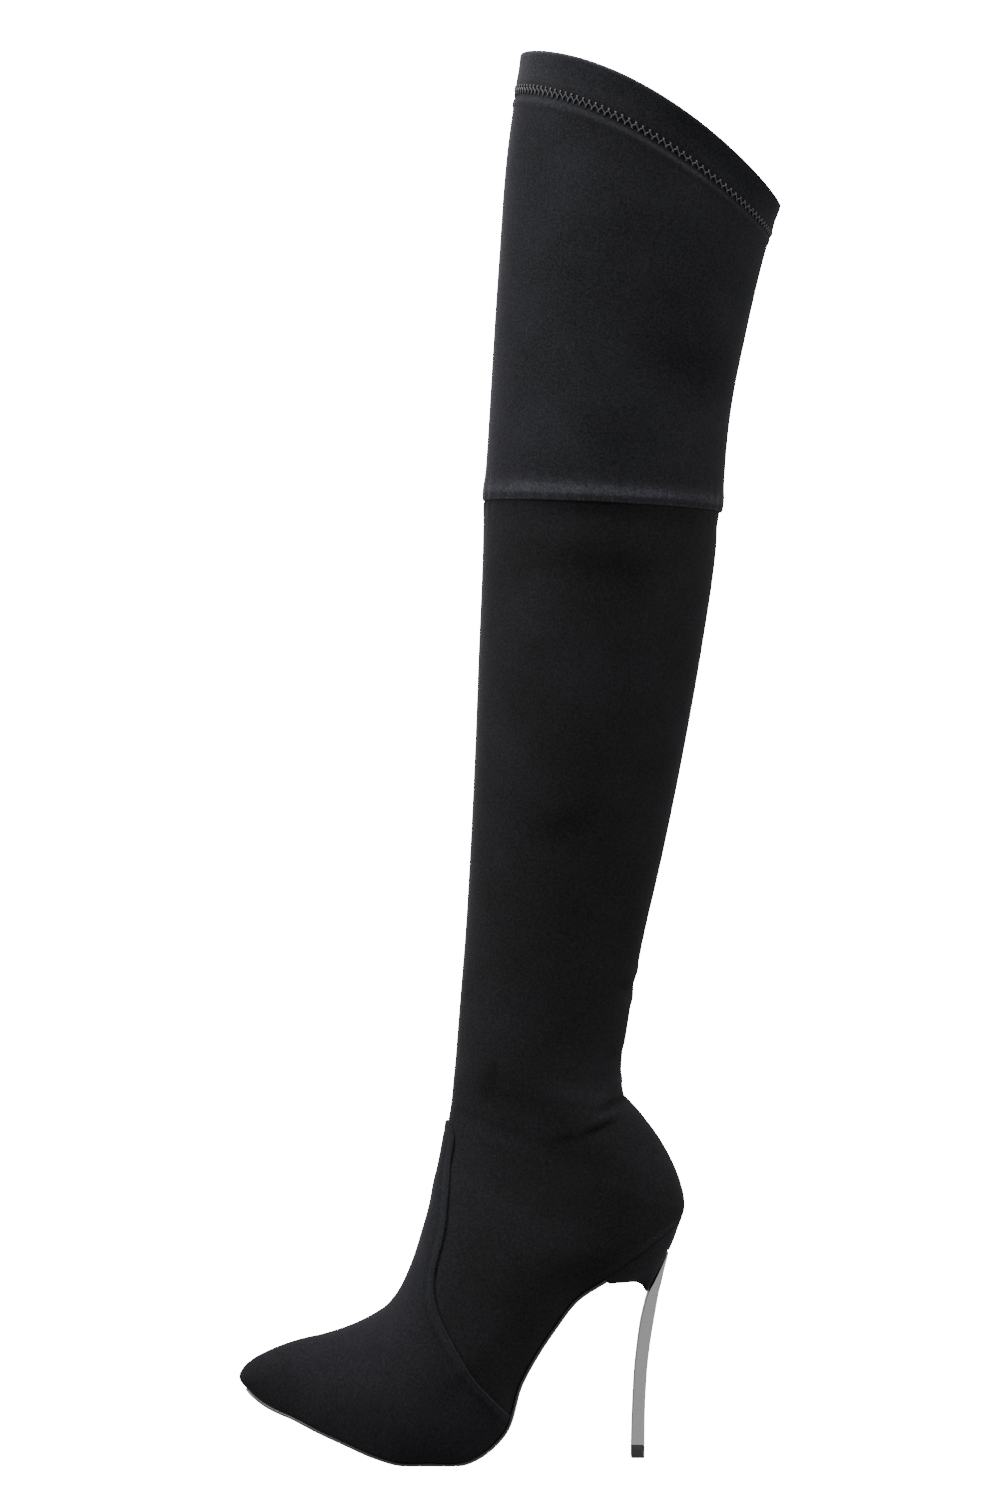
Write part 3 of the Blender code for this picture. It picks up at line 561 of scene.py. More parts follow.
def cloth_wall(name, outside, painted_light, inside, step, open_rows=0, pole=False):
    """One closed wall. The inside grid has every step-th row and column of the outside one.

    The argument after the outside grid is painted light: above 0 a painted highlight makes the outside
    paler, below 0 painted shade makes it darker.
    """
    outside = np.concatenate((outside, painted_light[..., None]), axis=-1)
    inside = np.concatenate((inside, np.zeros((*inside.shape[:2], 1))), axis=-1)
    outer, outer_points = numbered(outside, open_rows, pole, 0)
    inner, inner_points = numbered(inside, open_rows // step, pole, len(outer_points))
    faces = quads(outer).tolist() + quads(inner)[:, ::-1].tolist()

    def rim(outer_line, inner_line):
        """Faces from a line of outer points, walked backwards, to its line of inner points."""
        for place in range(len(inner_line) - 1):
            chain = outer_line[place * step:(place + 1) * step + 1][::-1]
            faces.append([*chain.tolist(), int(inner_line[place]), int(inner_line[place + 1])])

    if open_rows:
        rim(outer[:open_rows + 1, 0], inner[:open_rows // step + 1, 0])
        rim(outer[:open_rows + 1, -1][::-1], inner[:open_rows // step + 1, -1][::-1])
    if not pole:
        rim(outer[0][::-1], inner[0][::-1])
    rim(outer[-1], inner[-1])
    return mesh_piece(name, np.concatenate((outer_points, inner_points)), tidy_faces(faces))


def places(start, end, count, gather=0.0):
    """count + 1 places along the boot, even in way walked. gather draws them towards both ends."""
    share = np.linspace(0, 1, count + 1)
    share = share - gather * np.sin(2 * np.pi * share) / (2 * np.pi)
    walk = np.interp((start, end), ROWS["along"], ROWS["walk"])
    found = np.interp(walk[0] + (walk[1] - walk[0]) * share, ROWS["walk"], ROWS["along"])
    found[0], found[-1] = start, end
    return found


# %% Sock: foot and shin
SKIN_STEP = 4
SOCK_COLUMNS = 160
SOCK_FOOT_ROWS = 300
SOCK_SHIN_ROWS = 236
KNEE_TUCK = 0.0060  # how far the shin's cloth runs up behind the thigh panel
BACK_WAY = 3.6  # half widths per unit of around, for ways measured from the back line
FLUSH_HEIGHT = 0.0013  # in front the shin's cloth lies flush with the lap over it
FLUSH_POWER = 6  # the higher, the narrower that front


def from_back(along, around):
    """Way from the back line, or on the foot from the feather edge. It is about half the true way round."""
    return np.minimum(around, 1 - around) * BACK_WAY * form_half_width(along)


def fixed_relief(along, around):
    """Creases, and the back seam's trough between two soft ridges over its turnings."""
    way = from_back(along, around)
    above = fade_in(along - ALONG_SEAT_BACK, over=0.004)
    seam = band(RELIEF, "back_seam", way) + band(RELIEF, "back_welt", way)
    return creases(outline(along, around)) + above * seam


def sock_lift(along, around):
    """Creases, the back seam, and the hollow and pulled places below the knee seam."""
    front = to_front(around) ** FLUSH_POWER
    past_knee = along - ALONG_KNEE
    flush = FLUSH_HEIGHT * front * np.exp(-np.maximum(-past_knee, 0) / KNEE_FADE)
    hollow = (1 - front) * band(RELIEF, "shin_hollow", past_knee)
    pulled = pulls(around, count=46, wander=0.6, seed=3) * band(RELIEF, "shin_pulls", past_knee)
    height = fixed_relief(along, around) + flush + hollow + pulled
    return height * fade_in(-past_knee, over=0.0015)


def make_sock():
    """Foot and shin in one wall, open underneath, from the toe's tip to just above the knee seam."""
    foot = places(0, ALONG_SEAT_BACK, SOCK_FOOT_ROWS, 0.5)
    shin = places(ALONG_SEAT_BACK, ALONG_KNEE + KNEE_TUCK, SOCK_SHIN_ROWS)
    along = np.concatenate((foot, shin[1:]))[:, None]
    around = np.linspace(0, 1, SOCK_COLUMNS + 1)[None]
    outside = skin(along, around, sock_lift(along, around))
    # Painted light: painted shade in the creases and the back seam's trough, painted highlights on their
    # ridges and along the sock's edge over the heel block.
    over_block = fade_in(along - ALONG_BREAST, over=0.010) * (along < ALONG_SEAT_BACK)
    seat_edge = over_block * band(PAINTED_LIGHT_BANDS, "seat_edge", from_back(along, around))
    painted_light = PAINTED_LIGHT_OF_RELIEF * fixed_relief(along, around) / MM + seat_edge
    inside = skin(along[::SKIN_STEP], around[:, ::SKIN_STEP], -UPPER_WALL)
    return cloth_wall("sock", outside, painted_light, inside, SKIN_STEP, SOCK_FOOT_ROWS, True)


sock = make_sock()
print("sock faces:", len(sock.data.polygons))

# %% Thigh panel with its hem
PANEL_COLUMNS = 288
PANEL_ROWS = 176
TURN_ROWS = 6  # rows round the panel's lower edge, and as many round the collar
COLLAR_ROUND = 0.0012  # length over which the collar's edge is rounded
COLLAR_INSIDE = 0.0004  # how much lower the collar's inner edge lies
LAP_CLEARANCE = 0.0001  # room between the panel's inside and the sock that is tucked up behind it
TUCK_MARGIN = 0.0010  # the panel keeps that room this far past the tucked cloth
ROLL_LESS_BEHIND = 0.45  # how much lower the knee's roll is at the back, as a share
ROLL_UNEVEN = 0.15  # share by which it varies round the leg
ROLL_WANDER = 0.0012  # how far the roll wanders up and down
STITCH_EVEN = 0.6  # share of the stitches' sink that is the same all round
HEM_TILT = 0.0038  # the hem line runs this much higher in front and lower behind
HEM_EDGE = 0.0012  # length over which the hem's step rises
HEM_UNEVEN = 0.25  # share by which the hem's ridge varies round the leg
# share by which the painted highlight on the hem's ridge varies round the leg
HEM_HIGHLIGHT_UNEVEN = 0.3
CUFF_FRONT_HIGHLIGHT = 0.40  # the cuff is painted paler in front, a painted highlight, and darker at the sides, painted shade
CUFF_SIDE_SHADE = -0.22


def hem_line(around):
    """Place of the hem's stitches along the boot, ALONG_HEM - HEM_TILT cos(2 pi around)."""
    return ALONG_HEM - HEM_TILT * np.cos(2 * np.pi * around)


def thigh_lift(along, around):
    """How far the panel stands proud of the plain form.

    It laps over the shin, and rolls above the row of stitches that pulls it in. At the collar the turned
    hem stands proud, with a soft ridge below the zigzag stitch. Small pulled waves run out from both.
    """
    past_knee = np.maximum(along - ALONG_KNEE, 0)
    past_hem = along - hem_line(around)
    lap = KNEE_STEP * np.exp(-past_knee / KNEE_FADE)
    roll = 1 + ROLL_UNEVEN * waves(around, 1) - ROLL_LESS_BEHIND * (1 - to_front(around))
    roll = roll * band(RELIEF, "knee_roll", past_knee - ROLL_WANDER * waves(around, 2, 3))
    sink = STITCH_EVEN + (1 - STITCH_EVEN) * ripple(around, count=84)
    sink = sink * band(RELIEF, "knee_stitches", past_knee)
    pulled = pulls(around, count=38, wander=0.8, seed=4) * band(RELIEF, "knee_pulls", past_knee)
    hem = HEM_STEP * fade_in(past_hem + HEM_EDGE / 2, over=HEM_EDGE)
    ridge = (1 + HEM_UNEVEN * waves(around, 5)) * band(RELIEF, "hem_ridge", past_hem)
    hollows = band(RELIEF, "hem_groove", past_hem) + band(RELIEF, "cuff_hollow", past_hem)
    fixed = fixed_relief(along, around) * fade_in(past_knee, over=0.006)
    return lap + roll + sink + pulled + hem + ridge + hollows + fixed


def thigh_painted_light(along, around):
    """Painted highlights and shade on the panel's rolls, lap edge, stitches, collar, cuff and creases."""
    past_knee = along - ALONG_KNEE
    past_hem = along - hem_line(around)
    roll = band(PAINTED_LIGHT_BANDS, "knee_roll", past_knee) + to_sides(around) * band(PAINTED_LIGHT_BANDS, "knee_roll_sides", past_knee)
    stitches = np.clip(waves(around, 6, 9), 0, 1) * (0.5 + 0.5 * ripple(around, count=70))
    lap = band(PAINTED_LIGHT_BANDS, "lap_edge", past_knee) + stitches * band(PAINTED_LIGHT_BANDS, "lap_stitches", past_knee)
    under = band(PAINTED_LIGHT_BANDS, "under_roll", past_knee)
    ridge = (1 + HEM_HIGHLIGHT_UNEVEN * waves(around, 5)) * band(PAINTED_LIGHT_BANDS, "hem_ridge", past_hem)
    cuff = CUFF_FRONT_HIGHLIGHT * to_front(around) ** 3 + CUFF_SIDE_SHADE * to_sides(around)
    cuff = cuff * fade_in(past_hem, over=0.004)
    collar = band(PAINTED_LIGHT_BANDS, "collar", along - ALONG_COLLAR)
    creased = PAINTED_LIGHT_OF_RELIEF * creases(outline(along, around)) / MM
    return roll + lap + under + ridge + cuff + collar + creased


def make_thigh_panel():
    """Panel from the knee seam to the collar, with a rounded lower edge and a rounded collar."""
    plain = places(ALONG_KNEE, ALONG_COLLAR - COLLAR_ROUND, PANEL_ROWS)
    around = np.linspace(0, 1, PANEL_COLUMNS + 1)[None]
    lift = thigh_lift(plain[:, None], around)
    lap_radius = KNEE_STEP / 2
    low_turn = np.linspace(-np.pi / 2, 0, TURN_ROWS + 1)[:-1]
    low_along = ALONG_KNEE - lap_radius * np.cos(low_turn)
    low_lift = lift[:1] * (1 + np.sin(low_turn))[:, None]
    top_radius = (HEM_STEP + UPPER_WALL) / 2
    top_turn = np.linspace(0, np.pi / 2, TURN_ROWS + 1)[1:]
    top_along = ALONG_COLLAR - top_radius + top_radius * np.sin(top_turn)
    top_lift = lift[-1:] - top_radius * (1 - np.cos(top_turn))[:, None]
    along = np.concatenate((low_along, plain, top_along))
    outside = skin(along[:, None], around, np.concatenate((low_lift, lift, top_lift)))
    inner_along = along[::SKIN_STEP].copy()
    tucked = inner_along < ALONG_KNEE + KNEE_TUCK + TUCK_MARGIN
    inner_lift = np.where(tucked, LAP_CLEARANCE, -UPPER_WALL)
    inner_along[-1] = ALONG_COLLAR - COLLAR_INSIDE
    inner_lift[-1] = -UPPER_WALL + COLLAR_INSIDE
    inside = skin(inner_along[:, None], around[:, ::SKIN_STEP], inner_lift[:, None])
    painted_light = thigh_painted_light(np.clip(along, ALONG_KNEE, ALONG_COLLAR)[:, None], around)
    return cloth_wall("thigh_panel", outside, painted_light, inside, SKIN_STEP)


thigh_panel = make_thigh_panel()
print("thigh panel faces:", len(thigh_panel.data.polygons))

# %% Vamp overlay
VAMP_ROWS = 140
VAMP_SIDE_COLUMNS = 120
VAMP_GATHER = 0.6  # draws the grid's rows towards the toe and the edge
EDGE_THIN = 0.25  # share of the overlay's thickness that is left at its very edge
EDGE_POINTS = 3  # points of the edge line for each column of the overlay


def from_edge(points, edge):
    """Distance of each point to the nearest point of the overlay's edge line."""
    nearest = np.full(points.shape[:-1], np.inf)
    for place in edge:
        nearest = np.minimum(nearest, np.linalg.norm(points - place, axis=-1))
    return nearest


def make_vamp():
    """Overlay from the toe to its own edge. Each column runs from the toe's tip to the edge line."""
    edge_along, edge_around = np.array(VAMP_EDGE).T
    knots = np.arange(len(VAMP_EDGE), dtype=float)
    at = np.linspace(0, knots[-1], VAMP_SIDE_COLUMNS + 1)
    reach = curve(knots, edge_along, at) * ALONG_TONGUE
    around = curve(knots, edge_around, at)
    reach = np.concatenate((reach, reach[-2::-1]))[None]
    around = np.concatenate((around, 1 - around[-2::-1]))[None]
    share = np.linspace(0, 1, VAMP_ROWS + 1)[:, None]
    share = share - VAMP_GATHER * np.sin(2 * np.pi * share) / (2 * np.pi)
    plain = outline(share * reach, around)
    last = reach.size - 1
    fine = np.linspace(0, last, EDGE_POINTS * last + 1)
    line = [np.interp(fine, np.arange(last + 1), row.ravel()) for row in (reach, around)]
    off = from_edge(plain, outline(*line))
    round_in = np.sqrt(1 - (1 - fade_in(off, over=0.0008)) ** 2)
    thick = VAMP_WALL * (EDGE_THIN + (1 - EDGE_THIN) * round_in)
    sewn = band(RELIEF, "vamp_bead", off) + band(RELIEF, "vamp_sewn", off)
    outside = skin(share * reach, around, GAP + thick + sewn + creases(plain))
    # Painted light: highlights on the bead and along the overlay's edge, painted shade in the sewn line, and
    # both in creases.
    painted_light = sum(band(PAINTED_LIGHT_BANDS, name, off) for name in ("vamp_bead", "vamp_sewn", "vamp_edge"))
    painted_light = painted_light + PAINTED_LIGHT_OF_RELIEF * creases(plain) / MM
    inside = skin((share * reach)[::SKIN_STEP, ::SKIN_STEP], around[:, ::SKIN_STEP], GAP)
    return cloth_wall("vamp_overlay", outside, painted_light, inside, SKIN_STEP, VAMP_ROWS + 1, True)


vamp_overlay = make_vamp()
print("vamp faces:", len(vamp_overlay.data.polygons))


# %% [markdown]
# The sole is a thin board cut to the feather edges, as the insole is. A board is a ring of points round its
# thickness, carried along the boot. Its edge is rounded, as a trimmed and inked sole edge is.


# %% Boards under the foot
def ring_solid(name, rings, smooth_angle=40):
    """A closed solid through equal rings of points, capped across at both ends."""
    count, size = rings.shape[:2]
    index = np.arange(count * size).reshape(count, size)
    closed = np.concatenate((index, index[:, :1]), axis=1)
    faces = quads(closed).tolist()
    half = size // 2
    for ring, way in ((index[0], 1), (index[-1], -1)):
        for place in range(half - 1):
            face = [ring[place], ring[place + 1], ring[size - 2 - place], ring[size - 1 - place]]
            faces.append([int(corner) for corner in face[::way]])
    return mesh_piece(name, rings.reshape(-1, 3), tidy_faces(faces), smooth_angle)


BOARD_ACROSS = 14  # points across each face of a board
BOARD_EDGE = 6  # points round each of its edges


def board(name, along, inset, top, bottom, floor=None):
    """Rings: across the top from outer to inner edge, round the inner edge, back underneath, and up."""
    up = seat_up(along)
    outer = feather_line(along, 0, inset)
    inner = feather_line(along, 1, inset)
    half = (top - bottom) / 2
    turn = np.linspace(0, np.pi, BOARD_EDGE + 2)[1:-1]
    share = np.linspace(0, 1, BOARD_ACROSS)
    flat = np.zeros(BOARD_ACROSS)
    pairs = [(share, flat + top, flat)]
    pairs.append((np.ones(BOARD_EDGE), top - half + half * np.cos(turn), half * np.sin(turn)))
    pairs.append((share[::-1], flat + bottom, flat))
    pairs.append((np.zeros(BOARD_EDGE), bottom + half - half * np.cos(turn), -half * np.sin(turn)))
    share, height, out = (np.concatenate(part) for part in zip(*pairs))
    width = np.linalg.norm(inner - outer, axis=-1)[:, None]
    margin = np.minimum(half, width / 3)
    inward = margin + share * (width - 2 * margin) + np.clip(out, -margin, margin)
    points = outer[:, None] + (inner - outer)[:, None] * (inward / width)[..., None]
    points = points + up[:, None] * height[None, :, None]
    if floor is not None:
        points[..., 2] = np.maximum(points[..., 2], floor)
    return ring_solid(name, points)


def make_outsole():
    """Thin sole from the toe to the front of the heel, flat on the floor under the ball."""
    along = places(SOLE_END, ALONG_BREAST, 220, 0.4)
    return board("sole", along, SOLE_INSET, -GAP, -SOLE_TOP, 0.0)


def make_insole():
    """Board and sock inside the boot, lying on the sole and the heel seat."""
    along = places(SOLE_END, ALONG_SEAT_BACK - SOLE_END, 120, 0.4)
    return board("footbed", along, UPPER_WALL + GAP, INSOLE_THICKNESS, 0.0)


sole = make_outsole()
footbed = make_insole()
print("sole faces:", len(sole.data.polygons), "footbed faces:", len(footbed.data.polygons))

# %% [markdown]
# The heel is a moulded block in the shape of the heel seat, wrapped in the upper's cloth. A thin curved
# metal heel is let into its back, and a rubber tread closes the tip.

# %% Heel
BLADE_COLUMNS = ("up", "behind", "depth", "width")
BLADE_SECTIONS = (
    (0.000, 0.157, 1.00, 1.00),
    (0.153, 0.155, 0.96, 1.00),
    (0.401, 0.139, 0.96, 1.06),
    (0.597, 0.110, 0.94, 1.16),
    (0.672, 0.097, 0.80, 1.22),
    (0.719, 0.086, 0.58, 1.26),
    (0.767, 0.076, 0.36, 1.30),
    (0.809, 0.066, 0.20, 1.30),
    (0.841, 0.058, 0.14, 1.26),
)
BLADE_TOP = BLADE_SECTIONS[-1][0]
RECESS_RISE = 0.0016  # how far the block's recess runs on above the metal heel
BLOCK_TIP = BLADE_SECTIONS[4][0]
BLOCK_COLUMNS = ("down", "front", "back", "sag", "bow", "width")
BLOCK_SECTIONS = (
    (0.00, 0.000, 0.000, 0.0000, 0.0000, 1.00),
    (0.08, 0.070, 0.070, 0.0121, 0.0015, 0.97),
    (0.25, 0.300, 0.280, 0.0000, 0.0085, 0.88),
    (0.36, 0.415, 0.375, -0.0075, 0.0100, 0.81),
    (0.42, 0.475, 0.440, -0.0115, 0.0105, 0.77),
    (0.50, 0.550, 0.520, -0.0165, 0.0110, 0.70),
    (0.75, 0.780, 0.760, -0.0250, 0.0080, 0.50),
    (0.90, 0.885, 0.900, -0.0165, 0.0040, 0.40),
    (1.00, 0.940, 1.000, 0.0000, 0.0000, 0.34),
)
BLADE_LEVELS = 90
BLOCK_LEVELS = 65
BLOCK_SIDE_POINTS = 40
BLOCK_INSET = 0.0008  # the wrapped block lies this far inside the upper's edge
BLADE_CORNER = 0.0009
CORNER_SHARE = 5  # a corner's radius is at most the blade's depth over this
CORNER_POINTS = 6
LIFT_ROUND = 0.0005
LIFT_ROUND_LEVELS = 5


def blade_rows(up):
    """Front x, back x, z and half width of the metal heel at places up it."""
    blade = table(BLADE_COLUMNS, BLADE_SECTIONS)
    knots = blade["up"]
    back = FRAME_X + ROWS["back_x"][HEEL_SEAT_BACK] - HEEL_HEIGHT * curve(knots, blade["behind"], up)
    front = back - BLADE_DEPTH * curve(knots, blade["depth"], up)
    half = BLADE_WIDTH / 2 * curve(knots, blade["width"], up)
    tip = LIFT_HEIGHT + GAP
    return front, back, tip + (HEEL_HEIGHT - tip) * up, half


def rounded_ring(front, back, half, z, corner, shrink=0.0):
    """Rings of level rectangles with round corners, counter-clockwise from above.

    shrink draws the ring in all round, which rounds the end of a solid.
    """
    radius = np.minimum(corner, (back - front) / CORNER_SHARE)[:, None]
    turn = np.linspace(0, np.pi / 2, CORNER_POINTS)
    points = []
    for quarter, (sx, sy) in enumerate(((1, 1), (-1, 1), (-1, -1), (1, -1))):
        angle = turn + quarter * np.pi / 2
        centre_x = np.where(sx > 0, back[:, None] - radius, front[:, None] + radius)
        centre_y = sy * (half[:, None] - radius)
        x = centre_x + radius * np.cos(angle) - shrink * sx
        y = centre_y + radius * np.sin(angle) - shrink * sy
        points.append(np.stack((x, y, np.broadcast_to(z[:, None], x.shape)), axis=-1))
    return np.concatenate(points, axis=1)


def make_blade():
    """Thin curved metal heel that runs up the back of the block."""
    front, back, z, half = blade_rows(np.linspace(0, BLADE_TOP, BLADE_LEVELS))
    return ring_solid("steel_heel", rounded_ring(front, back, half, z, BLADE_CORNER)[:, ::-1])


def make_lift():
    """Rubber tread under the metal heel, with rounded edges above and below."""
    front, back, _, half = blade_rows(np.zeros(1))
    turn = np.linspace(0, np.pi / 2, LIFT_ROUND_LEVELS)
    low = LIFT_ROUND * (1 - np.cos(turn))
    z = np.concatenate((low, LIFT_HEIGHT - low[::-1]))
    drawn = LIFT_ROUND * (1 - np.sin(turn))
    shrink = np.concatenate((drawn, drawn[::-1]))[:, None]
    level = np.ones(len(z))
    rings = rounded_ring(front * level, back * level, half * level, z, BLADE_CORNER, shrink)
    return ring_solid("heel_tread", rings[:, ::-1])


def block_outline():
    """The heel seat's outline from the front of its outer side, round the back, to the inner side."""
    turn = np.linspace(0, np.pi / 2, BLOCK_SIDE_POINTS)
    along = ALONG_BREAST + (ALONG_SEAT_BACK - ALONG_BREAST) * np.sin(turn)
    outer, inner = (feather_line(along, side, BLOCK_INSET) - GAP * seat_up(along) for side in (0, 1))
    return np.concatenate((outer, inner[-2::-1]))


def block_rings():
    """Levels of the block. Each shrinks from the seat towards the metal heel's front."""
    top = block_outline()
    front_end = (top[0] + top[-1]) / 2
    back_end = top[len(top) // 2]
    run = back_end - front_end
    share = ((top - front_end) @ run) / (run @ run)
    chord = front_end + share[:, None] * run
    lateral = top[:, 1] - chord[:, 1]
    bulge = top - chord
    bulge[:, 1] = 0.0
    rows = table(BLOCK_COLUMNS, BLOCK_SECTIONS)
    sections = np.linspace(len(BLOCK_SECTIONS) - 1, 0, BLOCK_LEVELS)
    down = np.interp(sections, np.arange(len(BLOCK_SECTIONS)), rows["down"])
    blade_front, _, tip_z, _ = (row[0] for row in blade_rows(np.array([BLOCK_TIP])))
    tip = np.array((blade_front - GAP, back_end[1], tip_z))
    at = {name: curve(rows["down"], rows[name], down)[:, None] for name in BLOCK_COLUMNS[1:]}
    front = front_end + at["front"] * (tip - front_end)
    front[:, 2:] -= HEEL_HEIGHT * at["sag"]
    back = back_end + at["back"] * (tip - back_end)
    back[:, :1] += HEEL_HEIGHT * at["bow"]
    rings = front[:, None] + share[None, :, None] * (back - front)[:, None]
    rings = rings + bulge[None] * (1 - down)[:, None, None]
    rings[..., 1] += lateral[None] * at["width"]
    blade_x, _, blade_z, _ = blade_rows(np.linspace(0, BLADE_TOP, BLADE_LEVELS))
    limit = np.interp(rings[..., 2], blade_z, blade_x)
    limit = np.where(rings[..., 2] > blade_z[-1] + RECESS_RISE, np.inf, limit)
    rings[..., 0] = np.minimum(rings[..., 0], limit)
    return rings


steel_heel = make_blade()
heel_tread = make_lift()
heel_wrap = ring_solid("heel_wrap", block_rings()[:, ::-1])
print("heel pieces:", steel_heel.name, heel_tread.name, heel_wrap.name)

# %% [markdown]
# The cuff's hem is held by a zigzag stitch that stretches with the cloth. It is one thread, so it is made as
# one tube along a wave that runs round the boot on the hem line.

# %% Zigzag stitch
STITCH_PITCH = 0.0035
STITCH_HEIGHT = 0.0040
THREAD_RADIUS = 0.00034
POINTS_PER_STITCH = 10
THREAD_SIDES = 6
ROUND_TURN = 0.97  # under 1, this rounds the zigzag's turns
STITCH_LEAN = 0.18  # share of a stitch by which its two legs lean
BRIDGE_LOW = 0.5  # the thread lies this many of its radii up where it enters the cloth,
BRIDGE_RISE = 1.1  # and this many higher halfway between


def closed_tube(name, path, away, radius):
    """A tube along a path that closes on itself. Its rings are square to the path, turned by away."""
    ahead = unit(np.roll(path, -1, axis=0) - np.roll(path, 1, axis=0))
    side = unit(np.cross(ahead, away))
    up = np.cross(side, ahead)
    turn = np.linspace(0, 2 * np.pi, THREAD_SIDES + 1)[:-1]
    ring = np.cos(turn)[None, :, None] * side[:, None] + np.sin(turn)[None, :, None] * up[:, None]
    points = path[:, None] + radius * ring
    index = np.arange(len(path) * THREAD_SIDES).reshape(len(path), THREAD_SIDES)
    index = np.concatenate((index, index[:1]))
    index = np.concatenate((index, index[:, :1]), axis=1)
    return mesh_piece(name, points.reshape(-1, 3), quads(index).tolist(), 180)


def make_hem_stitch():
    """The thread's place along the boot swings half the stitch's height either side of the hem line."""
    ring = outline(ALONG_HEM, np.linspace(0, 1, 400))
    girth = np.linalg.norm(np.diff(ring, axis=0), axis=-1).sum()
    stitches = int(girth / STITCH_PITCH)
    at = np.linspace(0, stitches, stitches * POINTS_PER_STITCH, endpoint=False)
    swing = np.arcsin(np.sin(2 * np.pi * at) * ROUND_TURN) / np.arcsin(ROUND_TURN)
    lean = STITCH_LEAN * np.sin(4 * np.pi * at) / stitches
    around = at / stitches + lean
    along = hem_line(around) + STITCH_HEIGHT / 2 * swing
    bridge = THREAD_RADIUS * (BRIDGE_LOW + BRIDGE_RISE * (1 - swing**4))
    path = skin(along, around, thigh_lift(along, around) + bridge)
    return closed_tube("hem_stitch", path, normal(along, around), THREAD_RADIUS)


hem_stitch = make_hem_stitch()
print("hem stitch faces:", len(hem_stitch.data.polygons))


# %% [markdown]
# Finishes. Every colour is written as it looks on a screen, and one function turns it to the linear values
# that the renderer mixes. One small function adds a node with its settings and links.


# %% Helpers for materials
def linear(text):
    """An sRGB hex colour as linear red, green, blue and 1."""
    shares = np.array([int(text[place:place + 2], 16) / 255 for place in (1, 3, 5)])
    low = shares / 12.92
    high = ((shares + 0.055) / 1.055) ** 2.4
    return (*np.where(shares <= 0.04045, low, high).tolist(), 1.0)


def fill(tree, node, inputs):
    """Give a node's inputs a value each, or link them to another node."""
    for socket, source in inputs.items():
        if isinstance(source, bpy.types.NodeSocket):
            tree.links.new(source, node.inputs[socket])
        else:
            node.inputs[socket].default_value = source


def add(tree, kind, inputs=None, **settings):
    """Add a node, give it its settings, and fill or link its inputs."""
    node = tree.nodes.new(kind)
    for name, setting in settings.items():
        setattr(node, name, setting)
    fill(tree, node, inputs or {})
    return node


def blank(name):
    """A new material with only its Principled shader, and its node tree."""
    material = bpy.data.materials.new(name)
    material.use_nodes = True
    return material, material.node_tree, material.node_tree.nodes["Principled BSDF"]


def noise(tree, size_mm, roughness=0.5):
    """Noise over the boot's own points, whose features have a size in real millimetres."""
    place = add(tree, "ShaderNodeTexCoord").outputs["Object"]
    inputs = {"Vector": place, "Scale": 1 / (size_mm * MM), "Detail": 3.0, "Roughness": roughness}
    return add(tree, "ShaderNodeTexNoise", inputs).outputs["Fac"]


def scaled(tree, source, share, more=0.0):
    """source times share, plus more."""
    inputs = {0: source, 1: share, 2: more}
    return add(tree, "ShaderNodeMath", inputs, operation="MULTIPLY_ADD").outputs[0]


def ramp(tree, factor, stops):
    """A colour that runs through the stops, each a place on the factor's scale and its hex colour."""
    node = add(tree, "ShaderNodeValToRGB", {"Fac": factor})
    elements = node.color_ramp.elements
    for position, _ in stops[1:-1]:
        elements.new(position)
    for element, (position, colour) in zip(elements, stops):
        element.position = position
        element.color = linear(colour)
    return node.outputs["Color"]


def bumps(tree, height, strength, distance_mm):
    """Directions of a surface that rises with the height."""
    inputs = {"Height": height, "Strength": strength, "Distance": distance_mm * MM}
    return add(tree, "ShaderNodeBump", inputs).outputs["Normal"]


# %% Microsuede: a knit with a short brushed nap
NAP_MM = 1.1  # real fibres are too fine to show, so they are drawn this coarse
PATCH_MM = 34.0  # the nap lies one way over patches of about this size


def brushed_suede(name, dark, light, pale="#3b3b42"):
    """Nap lies in faint patches, single fibres catch the light, and painted highlights and shade make places
    paler and darker.

    The tone is half of a sum: the fibres' noise, 0.30 times the patches' noise and half the painted light.
    The cloth has next to no shine, and its sheen makes edges seen aslant paler.
    """
    material, tree, shader = blank(name)
    fibres = noise(tree, NAP_MM, roughness=0.7)
    mixed = scaled(tree, noise(tree, PATCH_MM), share=0.30, more=fibres)
    # painted highlights and shade, kept on each point of the cloth
    painted_light = add(tree, "ShaderNodeAttribute", attribute_name="painted_light").outputs["Fac"]
    tone = scaled(tree, scaled(tree, painted_light, share=0.5, more=mixed), share=0.5)
    fill(tree, shader, {
        "Base Color": ramp(tree, tone, ((0.22, dark), (0.42, light), (0.70, pale))),
        "Normal": bumps(tree, fibres, strength=0.6, distance_mm=0.18),
        "Roughness": 0.95,
        "Specular IOR Level": 0.06,
        "Sheen Weight": 0.10,
        "Sheen Roughness": 0.3,
        "Sheen Tint": linear("#c3c2cc"),
    })
    return material


# %% Leather, steel, rubber and thread
def plain_finish(name, dark, light, roughness, grain_mm, bump_mm=0.05, metallic=0.0):
    """A finish with a fine grain in its colour and surface.

    Most of these grains are finer than one pixel of the picture, 0.51 mm, and are drawn coarser to show.
    """
    material, tree, shader = blank(name)
    grain = noise(tree, grain_mm)
    fill(tree, shader, {
        "Base Color": ramp(tree, grain, ((0.35, dark), (0.65, light))),
        "Normal": bumps(tree, grain, strength=0.3, distance_mm=bump_mm),
        "Roughness": roughness,
        "Metallic": metallic,
    })
    return material


